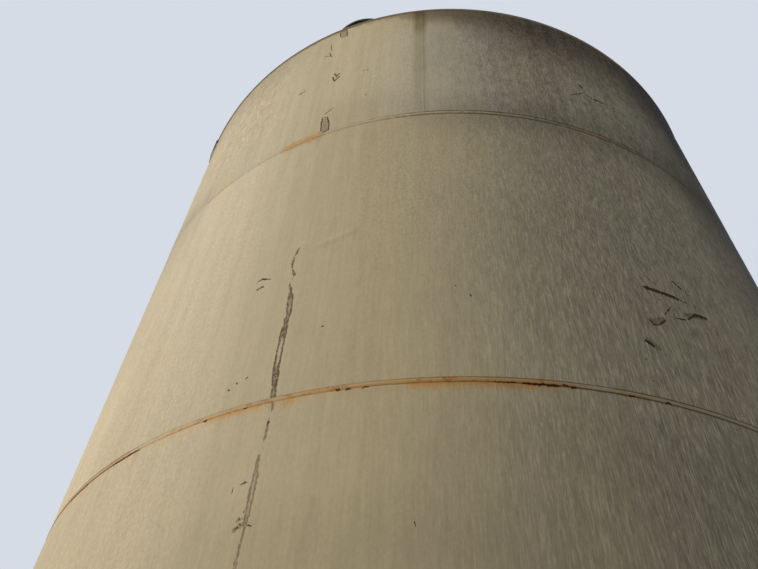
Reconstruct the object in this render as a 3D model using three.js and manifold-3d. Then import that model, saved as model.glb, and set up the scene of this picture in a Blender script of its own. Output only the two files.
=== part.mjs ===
// Vertical storage tank: a welded steel shell of three rolled courses on a flat bottom, under a
// shallow cone roof, with its hatch, vent, nozzles, manway and lifting lugs. Millimetres, +Z up.
// The origin is the centre of the underside. The front of the tank faces -Y, and azimuths are
// degrees measured from the front towards +X.
import * as THREE from 'three';
import { mergeVertices } from 'three/addons/utils/BufferGeometryUtils.js';
import Module from 'manifold-3d';

const wasm = await Module();
wasm.setup();

const foot = 304.8;
const gap = 0.3;

// width of the flat facets that make up the round walls, in degrees
const facet = 5;
const shellSides = 360 / facet;
const neckSides = 32;
const pipeSides = 24;

// how far the shapes that cut the openings reach past a plate
const cutReach = 100;

// shell and bottom
const shellRadius = 5.5 * foot;
const shellWall = 6.35;
const bottomWall = 6.35;
const chime = 12;
const courses = [
  { name: 'lower', height: 8 * foot, seamAzimuth: -62 },
  { name: 'middle', height: 5 * foot, seamAzimuth: 88.4 },
  { name: 'upper', height: 4 * foot, seamAzimuth: -1.6 },
];
const shellFoot = bottomWall + gap;
const shellTop = shellFoot + courses.reduce((sum, course) => sum + course.height, 0);

// roof
const roofWall = 4.76;
const roofSlope = 1 / 12;
const roofOverhang = 6;
const roofSeams = [43.4, 133.4, 223.4, 313.4];

// weld beads
const girthBead = { halfWidth: 9, height: 2.6 };
const plateBead = { halfWidth: 8, height: 2.3 };
const roofBead = { halfWidth: 7, height: 2 };
const filletLeg = 5.5;
// shoulder and crown of a bead, as shares of its half width and height
const shoulder = { across: 0.72, up: 0.65 };
const crown = 0.28;

// roof hatch, near the front edge of the roof
const hatch = {
  azimuth: -15.3, centreRadius: 1420, outer: 203.2, wall: 6.35,
  flangeRadius: 240, flangeWall: 12.7, flangeFoot: 113.7, coverWall: 8,
};
const hatchHandle = { span: 120, reach: 50, bend: 18, barRadius: 6 };

// vent at the crown, with its cap in shares of the cap's radius and height
const vent = { outer: 84.15, wall: 7.1, height: 190, capRadius: 150, capHeight: 95 };
const ventCapProfile = [[0.72, 0], [1, 0.16], [1, 0.38], [0.8, 0.66], [0.45, 0.92]];

// filling nozzle on the back of the roof, closed by a blind flange
const fill = {
  azimuth: 180, centreRadius: 1100, outer: 44.45, wall: 5.5, height: 150,
  flangeRadius: 95.25, flangeWall: 23.9,
};

// shell manway at the back, with its reinforcing pad and two handles on its cover
const manway = {
  azimuth: 180, height: 762, outer: 304.8, wall: 9.5, reach: 230,
  flangeRadius: 381, flangeWall: 14, coverWall: 14, padRadius: 560, padWall: 6.35,
};
const manwayHandle = { span: 140, reach: 60, bend: 20, barRadius: 8, offsets: [-150, 150] };

// outlet and drain nozzles, left open
const outlet = {
  azimuth: 90, height: 305, outer: 57.15, wall: 6, reach: 152,
  flangeRadius: 114.3, flangeWall: 23.9,
};
const drain = {
  azimuth: -90, height: 115, outer: 30.15, wall: 3.9, reach: 152,
  flangeRadius: 76.2, flangeWall: 19.1,
};
// how far the necks reach in past the inner face of the shell or the underside of the roof
const neckInset = 8;

// lifting lugs: flat bars on the upper course, standing a little above the rim
const lug = {
  azimuths: [-57.5, 122.5], wall: 12.7, halfWidth: 32, drop: 170, rise: 36, taper: 40,
  tipHalfWidth: 16, eye: 10, eyeRise: 17.5, corner: 10,
};

const paint = { color: 0xb5ab8e, roughness: 0.62, metalness: 0.1 };
const beadPaint = { color: 0x9c8a6a, roughness: 0.75, metalness: 0.1 };
const darkSteel = { color: 0x2f2d2a, roughness: 0.7, metalness: 0.3 };

const tank = new THREE.Group();
tank.name = 'vertical_storage_tank';

function radians(degrees) {
  return degrees * Math.PI / 180;
}

function spot(radius, azimuth) {
  const angle = radians(azimuth);
  return new THREE.Vector2(radius * Math.sin(angle), -radius * Math.cos(angle));
}

// distance from the axis to the flat facets of a ring whose corners are at this radius
function facetRadius(radius, azimuth) {
  const half = radians(facet / 2);
  const along = radians(THREE.MathUtils.euclideanModulo(azimuth, facet));
  return radius * Math.cos(half) / Math.cos(along - half);
}

function azimuthSteps(start, end) {
  const steps = [start];
  for (let step = Math.ceil((start + 0.01) / facet) * facet; step < end - 0.01; step += facet) {
    steps.push(step);
  }
  steps.push(end);
  return steps;
}

function add(name, geometry, finish) {
  const mesh = new THREE.Mesh(geometry, new THREE.MeshStandardMaterial(finish));
  mesh.name = name;
  tank.add(mesh);
  return mesh;
}

function solid(geometry) {
  const plain = geometry.clone();
  plain.deleteAttribute('normal');
  plain.deleteAttribute('uv');
  const merged = mergeVertices(plain, 1e-3);
  return new wasm.Manifold(new wasm.Mesh({
    numProp: 3,
    vertProperties: new Float32Array(merged.attributes.position.array),
    triVerts: new Uint32Array(merged.index.array),
  }));
}

function geometryOf(body) {
  const mesh = body.getMesh();
  const geometry = new THREE.BufferGeometry();
  geometry.setAttribute('position', new THREE.BufferAttribute(mesh.vertProperties, 3));
  geometry.setIndex(new THREE.BufferAttribute(mesh.triVerts, 1));
  geometry.computeVertexNormals();
  return geometry;
}

function cut(geometry, ...tools) {
  let body = solid(geometry);
  for (const tool of tools) {
    body = body.subtract(solid(tool));
  }
  return geometryOf(body);
}

// upright prism over a flat outline
function prism(points, low, height) {
  const geometry = new THREE.ExtrudeGeometry(new THREE.Shape(points), {
    depth: height, bevelEnabled: false,
  });
  return geometry.translate(0, 0, low);
}

// part of a ring wall between two azimuths
function arcWall(inner, outer, low, height, start, end) {
  const steps = azimuthSteps(start, end);
  const outside = steps.map((azimuth) => spot(facetRadius(outer, azimuth), azimuth));
  const inside = steps.map((azimuth) => spot(facetRadius(inner, azimuth), azimuth)).reverse();
  return prism([...outside, ...inside], low, height);
}

// body turned about the vertical axis from [radius, height] points
function turned(points, sides) {
  const outline = points.map(([radius, height]) => new THREE.Vector2(radius, height));
  return new THREE.LatheGeometry(outline, sides).rotateX(Math.PI / 2);
}

// straight tube or ring along Z; a closed disc where the inner radius is 0
function ring(inner, outer, low, height, sides) {
  const top = low + height;
  if (inner === 0) {
    return turned([[0, low], [outer, low], [outer, top], [0, top]], sides);
  }
  return turned([[inner, low], [outer, low], [outer, top], [inner, top], [inner, low]], sides);
}

// lays a body made along Z so that Z points outwards at an azimuth, at a height
function facingOut(geometry, azimuth, height) {
  return geometry.rotateX(Math.PI / 2).rotateZ(radians(azimuth)).translate(0, 0, height);
}

// underside of the roof
function roofHeight(radius) {
  return shellTop + gap + (shellRadius - radius) * roofSlope;
}

// round bar bent to a U, with its feet on the plane z = 0 and its grip along Y
function handleBody({ span, reach, bend, barRadius }) {
  const half = span / 2;
  const grip = reach - barRadius;
  const at = (y, z) => new THREE.Vector3(0, y, z);
  const path = new THREE.CurvePath();
  path.add(new THREE.LineCurve3(at(-half, 0), at(-half, grip - bend)));
  path.add(new THREE.QuadraticBezierCurve3(
    at(-half, grip - bend), at(-half, grip), at(bend - half, grip)));
  path.add(new THREE.LineCurve3(at(bend - half, grip), at(half - bend, grip)));
  path.add(new THREE.QuadraticBezierCurve3(
    at(half - bend, grip), at(half, grip), at(half, grip - bend)));
  path.add(new THREE.LineCurve3(at(half, grip - bend), at(half, 0)));
  const section = new THREE.Shape().absarc(0, 0, barRadius, 0, 2 * Math.PI);
  return new THREE.ExtrudeGeometry(section, { steps: 32, curveSegments: 5, extrudePath: path });
}

function buildBottom() {
  add('bottom_plate', ring(0, shellRadius + chime, 0, bottomWall, shellSides), paint);
  const inner = shellRadius + gap;
  add('base_fillet_weld', turned([
    [inner, shellFoot], [inner + filletLeg, shellFoot], [inner, shellFoot + filletLeg],
    [inner, shellFoot],
  ], shellSides), beadPaint);
}

// bead on the joint between two plates, seen in section: x across, y outwards
function beadSection({ halfWidth, height }) {
  return [
    [-halfWidth, 0], [halfWidth, 0],
    [shoulder.across * halfWidth, shoulder.up * height], [crown * halfWidth, height],
    [-crown * halfWidth, height], [-shoulder.across * halfWidth, shoulder.up * height],
  ].map(([across, out]) => new THREE.Vector2(across, out));
}

// upright bead on a shell joint, centred on an azimuth
function verticalBead(azimuth, low, height) {
  const base = facetRadius(shellRadius, azimuth) + 1.5 * gap;
  const section = beadSection(plateBead).map(({ x, y }) => new THREE.Vector2(x, -base - y));
  return prism(section.reverse(), low, height).rotateZ(radians(azimuth));
}

function girthRing(height) {
  const base = shellRadius + gap;
  const section = beadSection(girthBead).map(({ x, y }) => [base + y, height + x]).reverse();
  return turned([...section, section[0]], shellSides);
}

// opening in the shell for a neck
function neckHole(nozzle) {
  const hole = ring(0, nozzle.outer + gap, shellRadius - cutReach, 2 * cutReach, neckSides);
  return facingOut(hole, nozzle.azimuth, nozzle.height);
}

function buildShell() {
  const halfGap = THREE.MathUtils.radToDeg(gap / 2 / shellRadius);
  let seam = shellFoot;
  courses.forEach((course, index) => {
    const top = seam + course.height;
    const low = seam + (index > 0 ? gap : 0);
    const beadFoot = seam + gap + (index > 0 ? girthBead.halfWidth : filletLeg);
    const beadTop = top - gap - (index < 2 ? girthBead.halfWidth : filletLeg);
    for (const [side, turn] of [['a', 0], ['b', 180]]) {
      const start = course.seamAzimuth + turn;
      let wall = arcWall(shellRadius - shellWall, shellRadius, low, top - low,
        start + halfGap, start + 180 - halfGap);
      if (index === 0) {
        wall = cut(wall, ...[manway, outlet, drain].map(neckHole));
      }
      add(`${course.name}_course_plate_${side}`, wall, paint);
      add(`${course.name}_vertical_weld_${side}`,
        verticalBead(start, beadFoot, beadTop - beadFoot), beadPaint);
    }
    if (index < 2) {
      add(`${course.name}_girth_weld`, girthRing(top), beadPaint);
    }
    seam = top;
  });
}

// lug outline: x across, y up from the rim
function lugOutline() {
  const outline = new THREE.Shape();
  outline.moveTo(-lug.tipHalfWidth, -lug.drop);
  outline.lineTo(lug.tipHalfWidth, -lug.drop);
  outline.lineTo(lug.halfWidth, lug.taper - lug.drop);
  outline.lineTo(lug.halfWidth, lug.rise - lug.corner);
  outline.lineTo(lug.halfWidth - lug.corner, lug.rise);
  outline.lineTo(lug.corner - lug.halfWidth, lug.rise);
  outline.lineTo(-lug.halfWidth, lug.rise - lug.corner);
  outline.lineTo(-lug.halfWidth, lug.taper - lug.drop);
  const eye = new THREE.Path();
  eye.absarc(0, lug.eyeRise, lug.eye, 0, 2 * Math.PI, true);
  outline.holes.push(eye);
  return outline;
}

function lugBody(azimuth) {
  const bar = new THREE.ExtrudeGeometry(lugOutline(), {
    depth: lug.wall, bevelEnabled: false, curveSegments: 12,
  });
  return bar.rotateX(Math.PI / 2).translate(0, -facetRadius(shellRadius, azimuth) - gap, shellTop)
    .rotateZ(radians(azimuth));
}

// room for a lug in the roof edge
function lugNotch(azimuth) {
  const depth = 3 * lug.wall;
  const notch = new THREE.BoxGeometry(2 * (lug.halfWidth + gap), depth, depth);
  return notch.translate(0, -facetRadius(shellRadius, azimuth) - depth / 2, shellTop)
    .rotateZ(radians(azimuth));
}

function buildLugs() {
  lug.azimuths.forEach((azimuth, index) => {
    add(`lifting_lug_${index + 1}`, lugBody(azimuth), darkSteel);
  });
}

// opening in the roof for a neck
function roofHole(nozzle) {
  const centre = spot(nozzle.centreRadius, nozzle.azimuth);
  const hole = ring(0, nozzle.outer + gap, shellTop - cutReach, 4 * cutReach, neckSides);
  return hole.translate(centre.x, centre.y, 0);
}

function buildRoof() {
  const hole = vent.outer + gap;
  const edge = shellRadius + roofOverhang;
  const cone = turned([
    [hole, roofHeight(hole)], [edge, roofHeight(edge)],
    [edge, roofHeight(edge) + roofWall], [hole, roofHeight(hole) + roofWall],
    [hole, roofHeight(hole)],
  ], shellSides);
  const roof = cut(cone, roofHole(hatch), roofHole(fill), ...lug.azimuths.map(lugNotch));
  const halfGap = gap / 2;
  roofSeams.forEach((azimuth, index) => {
    const quarter = prism([
      new THREE.Vector2(halfGap, -halfGap), new THREE.Vector2(2 * edge, -halfGap),
      new THREE.Vector2(2 * edge, -2 * edge), new THREE.Vector2(halfGap, -2 * edge),
    ], shellTop - cutReach, 6 * cutReach).rotateZ(radians(azimuth));
    const plate = solid(roof).intersect(solid(quarter));
    add(`roof_plate_${index + 1}`, geometryOf(plate), paint);
    add(`roof_weld_${index + 1}`, roofBeadBody(azimuth), beadPaint);
  });
}

// bead down a joint of the roof, from the vent to the edge
function roofBeadBody(azimuth) {
  const start = vent.outer + 2;
  const run = shellRadius - 4 - start;
  const section = new THREE.Shape(beadSection(roofBead));
  const bead = new THREE.ExtrudeGeometry(section, {
    depth: Math.hypot(run, run * roofSlope), bevelEnabled: false,
  });
  return bead.rotateX(Math.PI / 2).rotateX(Math.atan(roofSlope))
    .translate(0, -start, roofHeight(start) + roofWall + 2 * gap)
    .rotateZ(radians(azimuth));
}

function buildHatch() {
  const centre = spot(hatch.centreRadius, hatch.azimuth);
  const place = (geometry) => geometry.translate(centre.x, centre.y, 0);
  const neckFoot = shellTop - neckInset;
  const flangeFoot = shellTop + hatch.flangeFoot;
  const flangeTop = flangeFoot + hatch.flangeWall;
  const coverTop = flangeTop + gap + hatch.coverWall;
  add('hatch_neck', place(ring(hatch.outer - hatch.wall, hatch.outer, neckFoot,
    flangeTop - neckFoot, neckSides)), paint);
  add('hatch_flange', place(ring(hatch.outer + gap, hatch.flangeRadius, flangeFoot,
    hatch.flangeWall, neckSides)), darkSteel);
  add('hatch_cover', place(ring(0, hatch.flangeRadius, flangeTop + gap,
    hatch.coverWall, neckSides)), darkSteel);
  add('hatch_handle', place(handleBody(hatchHandle).rotateZ(radians(hatch.azimuth + 90))
    .translate(0, 0, coverTop + gap)), darkSteel);
}

function buildVent() {
  const neckFoot = roofHeight(vent.outer) - neckInset;
  const neckTop = roofHeight(0) + vent.height;
  add('vent_neck', ring(vent.outer - vent.wall, vent.outer, neckFoot, neckTop - neckFoot,
    neckSides), paint);
  const low = neckTop + gap;
  const side = ventCapProfile.map(([across, up]) => [
    across * vent.capRadius, low + up * vent.capHeight,
  ]);
  add('vent_cap', turned([[0, low], ...side, [0, low + vent.capHeight]], neckSides), darkSteel);
}

function buildFill() {
  const centre = spot(fill.centreRadius, fill.azimuth);
  const place = (geometry) => geometry.translate(centre.x, centre.y, 0);
  const neckFoot = roofHeight(fill.centreRadius + fill.outer) - neckInset;
  const top = roofHeight(fill.centreRadius) + fill.height;
  add('fill_neck', place(ring(fill.outer - fill.wall, fill.outer, neckFoot, top - neckFoot,
    pipeSides)), paint);
  add('fill_flange', place(ring(fill.outer + gap, fill.flangeRadius, top - fill.flangeWall,
    fill.flangeWall, neckSides)), paint);
  add('fill_blind', place(ring(0, fill.flangeRadius, top + gap, fill.flangeWall,
    neckSides)), darkSteel);
}

// neck through the shell with its flange, facing out along the azimuth
function buildNozzle(name, nozzle, sides) {
  const inside = shellRadius - shellWall;
  const start = Math.sqrt(inside ** 2 - nozzle.outer ** 2) - neckInset;
  const face = shellRadius + nozzle.reach;
  const tube = ring(nozzle.outer - nozzle.wall, nozzle.outer, start, face - start, sides);
  const flange = ring(nozzle.outer + gap, nozzle.flangeRadius, face - nozzle.flangeWall,
    nozzle.flangeWall, sides);
  add(`${name}_neck`, facingOut(tube, nozzle.azimuth, nozzle.height), paint);
  add(`${name}_flange`, facingOut(flange, nozzle.azimuth, nozzle.height), paint);
}

function buildManway() {
  buildNozzle('manway', manway, neckSides);
  const coverFoot = shellRadius + manway.reach + gap;
  const cover = ring(0, manway.flangeRadius, coverFoot, manway.coverWall, neckSides);
  add('manway_cover', facingOut(cover, manway.azimuth, manway.height), paint);
  manwayHandle.offsets.forEach((offset, index) => {
    const handle = handleBody(manwayHandle).translate(offset, 0, coverFoot + manway.coverWall + gap);
    add(`manway_handle_${index + 1}`, facingOut(handle, manway.azimuth, manway.height), paint);
  });
  const spread = THREE.MathUtils.radToDeg(Math.asin(manway.padRadius / shellRadius)) + facet;
  const padLow = manway.height - manway.padRadius - gap;
  const padWall = arcWall(shellRadius + gap, shellRadius + gap + manway.padWall, padLow,
    2 * (manway.padRadius + gap), manway.azimuth - spread, manway.azimuth + spread);
  const padRing = ring(manway.outer + gap, manway.padRadius, shellRadius - 2 * cutReach,
    3 * cutReach, neckSides);
  const outline = facingOut(padRing, manway.azimuth, manway.height);
  add('manway_pad', geometryOf(solid(padWall).intersect(solid(outline))), paint);
}

buildBottom();
buildShell();
buildRoof();
buildLugs();
buildHatch();
buildVent();
buildFill();
buildManway();
buildNozzle('outlet', outlet, pipeSides);
buildNozzle('drain', drain, pipeSides);

export default tank;
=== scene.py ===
from math import atan2, cos, exp, hypot, pi, radians, sin, sqrt

import bmesh
import bpy
from mathutils import Matrix, Vector, noise


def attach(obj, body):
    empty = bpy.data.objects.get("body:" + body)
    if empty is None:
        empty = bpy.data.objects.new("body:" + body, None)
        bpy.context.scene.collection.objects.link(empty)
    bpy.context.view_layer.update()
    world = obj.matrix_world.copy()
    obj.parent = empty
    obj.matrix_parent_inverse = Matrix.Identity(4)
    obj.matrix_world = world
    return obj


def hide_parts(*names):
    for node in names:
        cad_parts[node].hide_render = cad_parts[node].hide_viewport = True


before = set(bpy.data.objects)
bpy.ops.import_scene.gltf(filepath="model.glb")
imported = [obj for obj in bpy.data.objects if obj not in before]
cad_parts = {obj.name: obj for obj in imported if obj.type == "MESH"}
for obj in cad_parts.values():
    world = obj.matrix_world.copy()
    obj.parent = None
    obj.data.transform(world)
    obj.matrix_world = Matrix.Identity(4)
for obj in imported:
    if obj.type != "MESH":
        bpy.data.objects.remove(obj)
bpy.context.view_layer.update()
print("frame loaded,", len(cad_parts), "nodes")

# Metres. The front of the tank faces -Y, and azimuths are degrees from the front towards +X.

# camera and lights

view = {"place": (0.0, -3.0947, 1.1743), "yaw": -7.62, "pitch": 49.36, "roll": 3.81, "lens": 33.63}
studio = {
    "sky": (0.668, 0.716, 0.791), "skyOnDiffuse": 0.29,
    # azimuth, height, strength, colour and width in degrees
    "keyLight": (-70, 38, 2.75, (1.0, 0.955, 0.885), 28),
    "backLight": (158, 32, 1.4, (0.95, 0.97, 1.0), 50),
}


def added(name, data):
    thing = bpy.data.objects.new(name, data)
    bpy.context.scene.collection.objects.link(thing)
    return thing


def setCamera():
    yaw, pitch, roll = (radians(view[part]) for part in ("yaw", "pitch", "roll"))
    ahead = Vector((sin(yaw) * cos(pitch), cos(yaw) * cos(pitch), sin(pitch)))
    level = Vector((cos(yaw), -sin(yaw), 0))
    rise = level.cross(ahead)
    side = level * cos(roll) + rise * sin(roll)
    top = rise * cos(roll) - level * sin(roll)
    lens = bpy.data.cameras.new("camera")
    lens.sensor_fit, lens.sensor_width, lens.lens = "HORIZONTAL", 36, view["lens"]
    lens.clip_end = 200
    camera = added("camera", lens)
    facing = Matrix((side, top, -ahead)).transposed().to_4x4()
    camera.matrix_world = Matrix.Translation(view["place"]) @ facing
    bpy.context.scene.camera = camera


def addSun(name, azimuth, height, strength, colour, width):
    lamp = bpy.data.lights.new(name, "SUN")
    lamp.energy, lamp.color, lamp.angle = strength, colour, radians(width)
    turn, rise = radians(azimuth), radians(height)
    towards = Vector((sin(turn) * cos(rise), -cos(turn) * cos(rise), sin(rise)))
    added(name, lamp).rotation_euler = towards.to_track_quat("Z", "Y").to_euler()


def setLights():
    world = bpy.data.worlds.new("softLight")
    world.use_nodes = True
    bpy.context.scene.world = world
    nodes, links = world.node_tree.nodes, world.node_tree.links
    nodes.clear()
    rays = nodes.new("ShaderNodeLightPath")
    choice = nodes.new("ShaderNodeMixShader")
    out = nodes.new("ShaderNodeOutputWorld")
    links.new(rays.outputs["Is Diffuse Ray"], choice.inputs[0])
    # the backdrop keeps its brightness, and lights the tank with less
    for socket, strength in ((1, 1.0), (2, studio["skyOnDiffuse"])):
        sky = nodes.new("ShaderNodeBackground")
        sky.inputs["Color"].default_value = studio["sky"] + (1.0,)
        sky.inputs["Strength"].default_value = strength
        links.new(sky.outputs[0], choice.inputs[socket])
    links.new(choice.outputs[0], out.inputs["Surface"])
    for name in ("keyLight", "backLight"):
        addSun(name, *studio[name])
    bpy.context.scene.view_settings.view_transform = "Standard"


setCamera()
setLights()
print("camera and lights set")

# finishes


class Signal:
    # a value that varies over a surface; sums on it add Math nodes
    def __init__(self, finish, socket):
        self.finish = finish
        self.socket = socket

    def maths(self, operation, *others):
        sockets = dict(enumerate((self, *others)))
        return self.finish.value("ShaderNodeMath", {"operation": operation}, sockets)

    def __add__(self, other):
        return self.maths("ADD", other)

    def __sub__(self, other):
        return self.maths("SUBTRACT", other)

    def __mul__(self, other):
        return self.maths("MULTIPLY", other)

    def __truediv__(self, other):
        return self.maths("DIVIDE", other)

    def __pow__(self, other):
        return self.maths("POWER", other)

    def __abs__(self):
        return self.maths("ABSOLUTE")

    def __rsub__(self, other):
        return self.finish.value("ShaderNodeMath", {"operation": "SUBTRACT"}, {0: other, 1: self})

    __radd__ = __add__
    __rmul__ = __mul__

    def larger(self, other):
        return self.maths("MAXIMUM", other)

    def smaller(self, other):
        return self.maths("MINIMUM", other)

    def swing(self, amount):
        # a noise about a half, made to swing about 0
        return (self - 0.5) * amount

    def between(self, low, high):
        # 0 at low and 1 at high, with soft ends
        return self.finish.value("ShaderNodeMapRange", {"interpolation_type": "SMOOTHSTEP"},
                                 {0: self, 1: low, 2: high})


class Finish:
    # one material and the nodes that make it
    def __init__(self, name):
        self.material = bpy.data.materials.new(name)
        self.material.use_nodes = True
        self.tree = self.material.node_tree
        self.tree.nodes.clear()
        self.place = self.node("ShaderNodeTexCoord", {}, {}).outputs["Object"]

    def node(self, kind, settings, sockets):
        made = self.tree.nodes.new(kind)
        for name, setting in settings.items():
            if name == "stops":
                self.setStops(made.color_ramp.elements, setting)
            else:
                setattr(made, name, setting)
        for key, content in sockets.items():
            if isinstance(content, Signal):
                content = content.socket
            if isinstance(content, bpy.types.NodeSocket):
                self.tree.links.new(content, made.inputs[key])
            else:
                made.inputs[key].default_value = content
        return made

    def setStops(self, stops, wanted):
        while len(stops) > 1:
            stops.remove(stops[-1])
        stops[0].position, stops[0].color = wanted[0]
        for position, colour in wanted[1:]:
            stops.new(position).color = colour

    def value(self, kind, settings, sockets, output=0):
        return Signal(self, self.node(kind, settings, sockets).outputs[output])

    def vector(self, operation, *sockets):
        sockets = dict(enumerate(sockets))
        return self.node("ShaderNodeVectorMath", {"operation": operation}, sockets).outputs[0]

    def scaled(self, colour, amount):
        sockets = {0: colour, "Scale": amount}
        return self.node("ShaderNodeVectorMath", {"operation": "SCALE"}, sockets).outputs[0]

    def flat(self, across, up):
        return self.node("ShaderNodeCombineXYZ", {}, {0: across, 1: up}).outputs[0]

    def parts(self, place):
        split = self.node("ShaderNodeSeparateXYZ", {}, {0: place})
        return [Signal(self, output) for output in split.outputs]

    def noise(self, stretch, scale, detail=2.0, rough=0.5, place=None, warp=0.0):
        # stretch squeezes the coordinates, so a small number draws the pattern out along that axis
        where = self.vector("MULTIPLY", place or self.place, stretch)
        return self.value("ShaderNodeTexNoise", {}, {
            "Vector": where, "Scale": scale, "Detail": detail, "Roughness": rough, "Distortion": warp})

    def blend(self, kind, amount, first, second):
        first, second = (colours[shade] if isinstance(shade, str) else shade for shade in (first, second))
        return self.node("ShaderNodeMix", {"data_type": "RGBA", "blend_type": kind},
                         {0: amount, 6: first, 7: second}).outputs[2]

    def mix(self, amount, first, second):
        return self.blend("MIX", amount, first, second)

    def tinted(self, colour, amount, tint):
        # multiplies by the tint where amount is 1 or more
        return self.blend("MULTIPLY", amount, colour, tints[tint])

    def close(self, colour, roughness, height, metallic=0.0, gloss=0.5):
        bump = self.node("ShaderNodeBump", {}, {"Height": height, "Distance": 1.0, "Strength": 1.0})
        shader = self.node("ShaderNodeBsdfPrincipled", {}, {
            "Base Color": colour, "Roughness": roughness, "Normal": bump.outputs[0],
            "Metallic": metallic, "Specular IOR Level": gloss})
        self.node("ShaderNodeOutputMaterial", {}, {"Surface": shader.outputs[0]})
        return self.material


def linear(red, green, blue):
    # display values from 0 to 255, as a scene colour
    shares = [value / 255 for value in (red, green, blue)]
    return tuple(s / 12.92 if s <= 0.04045 else ((s + 0.055) / 1.055) ** 2.4 for s in shares) + (1.0,)


shell = {
    "radius": 1.6764, "wall": 0.00635, "seams": (2.44505, 3.96905), "top": 5.18825, "wave": 0.0012,
    "pull": 0.0016, "columns": 180, "rowHeight": 0.055,
}

colours = {
    # cream is unmarked paint that also carries a painted sheen on the left side
    "cream": (0.56, 0.465, 0.30, 1), "dull": (0.50, 0.415, 0.256, 1), "mould": (0.325, 0.291, 0.210, 1),
    # the darkest shell colour that follows is painted shadow with grime
    "shadowGrime": (0.115, 0.102, 0.082, 1), "scratch": (0.030, 0.022, 0.013, 1), "bare": (0.262, 0.180, 0.102, 1),
    # the pale paint colour is raised paint and also a painted highlight in scrapes and round scratches
    "bareDark": (0.108, 0.068, 0.027, 1), "flakeAndHighlight": (0.560, 0.470, 0.330, 1), "rust": linear(182, 128, 66),
    "rustDark": linear(98, 62, 36), "drip": linear(150, 122, 80), "fleck": linear(136, 86, 44),
    # the steel is near black, dark enough to be painted shade under the hatch lid as well as black steel
    "steel": linear(24, 23, 20), "steelWorn": linear(38, 34, 29), "dust": linear(112, 103, 87),
    "steelRust": linear(98, 62, 38), "zinc": linear(150, 146, 136), "zincRust": linear(112, 74, 48),
    "zincPit": linear(72, 48, 36), "sheet": linear(34, 33, 32), "sheetWorn": linear(62, 58, 54),
    "floor": (0.44, 0.44, 0.43, 1), "floorPale": (0.49, 0.49, 0.48, 1),
}
tints = {
    "mauve": (1.02, 0.94, 0.93, 1), "olive": (0.93, 0.97, 0.90, 1), "rimDirtAndShade": (1.04, 0.96, 0.90, 1),
    "soak": (0.50, 0.47, 0.33, 1), "cool": (1.04, 1.08, 1.22, 1), "splash": (0.62, 0.54, 0.44, 1),
    "runs": (0.80, 0.58, 0.38, 1), "roofBlots": (0.66, 0.60, 0.52, 1), "stain": (1.02, 0.74, 0.45, 1),
    "blush": (1.10, 0.86, 0.62, 1), "spread": (0.98, 0.71, 0.42, 1), "toeDark": (0.36, 0.30, 0.20, 1),
    "bloom": (1.03, 0.77, 0.46, 1), "pit": (0.20, 0.115, 0.065, 1), "smudge": (0.60, 0.545, 0.50, 1),
    "dirtLine": (0.74, 0.72, 0.66, 1), "weldDirt": (0.76, 0.70, 0.60, 1), "worn": (0.50, 0.45, 0.39, 1),
    "weldRust": (1.02, 0.73, 0.43, 1), "weldBrown": (0.84, 0.60, 0.42, 1), "grain": (0.5, 0.48, 0.46, 1),
}

# Each mark is start azimuth, start height, end azimuth, end height, half width in millimetres.
seamMarks = {
    "rust": [
        (-13.6, 2.457, -10.6, 2.455, 15), (-14.5, 2.433, -15, 2.422, 20), (-23.8, 2.434, -18, 2.433, 13),
        (-3, 2.432, 8, 2.43, 17), (16.2, 2.438, 18.6, 2.437, 10), (9.5, 2.44, 12.4, 2.438, 10),
    ],
    "spots": [
        (-37.6, 2.436, -33.4, 2.4366, 4.2), (-47.5, 2.435, -43, 2.4356, 4.6),
        (-24.2, 2.4378, -24, 2.4366, 4.6), (-19.5, 2.4383, -19.3, 2.4383, 3.2),
        (-9.9, 2.437, -9.75, 2.4368, 5.4), (-9, 2.4358, -8.6, 2.4358, 3.2),
        (-7.5, 2.437, -6.9, 2.437, 2.6), (4.6, 2.437, 6.4, 2.437, 2.8), (7.2, 2.4362, 10.3, 2.4355, 5.2),
        (10.8, 2.4418, 11.1, 2.4408, 4.2), (11.6, 2.437, 11.9, 2.4352, 4.8),
        (16.9, 2.4375, 17.6, 2.4363, 3.6), (20.7, 2.441, 21, 2.4398, 4),
    ],
}
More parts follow.
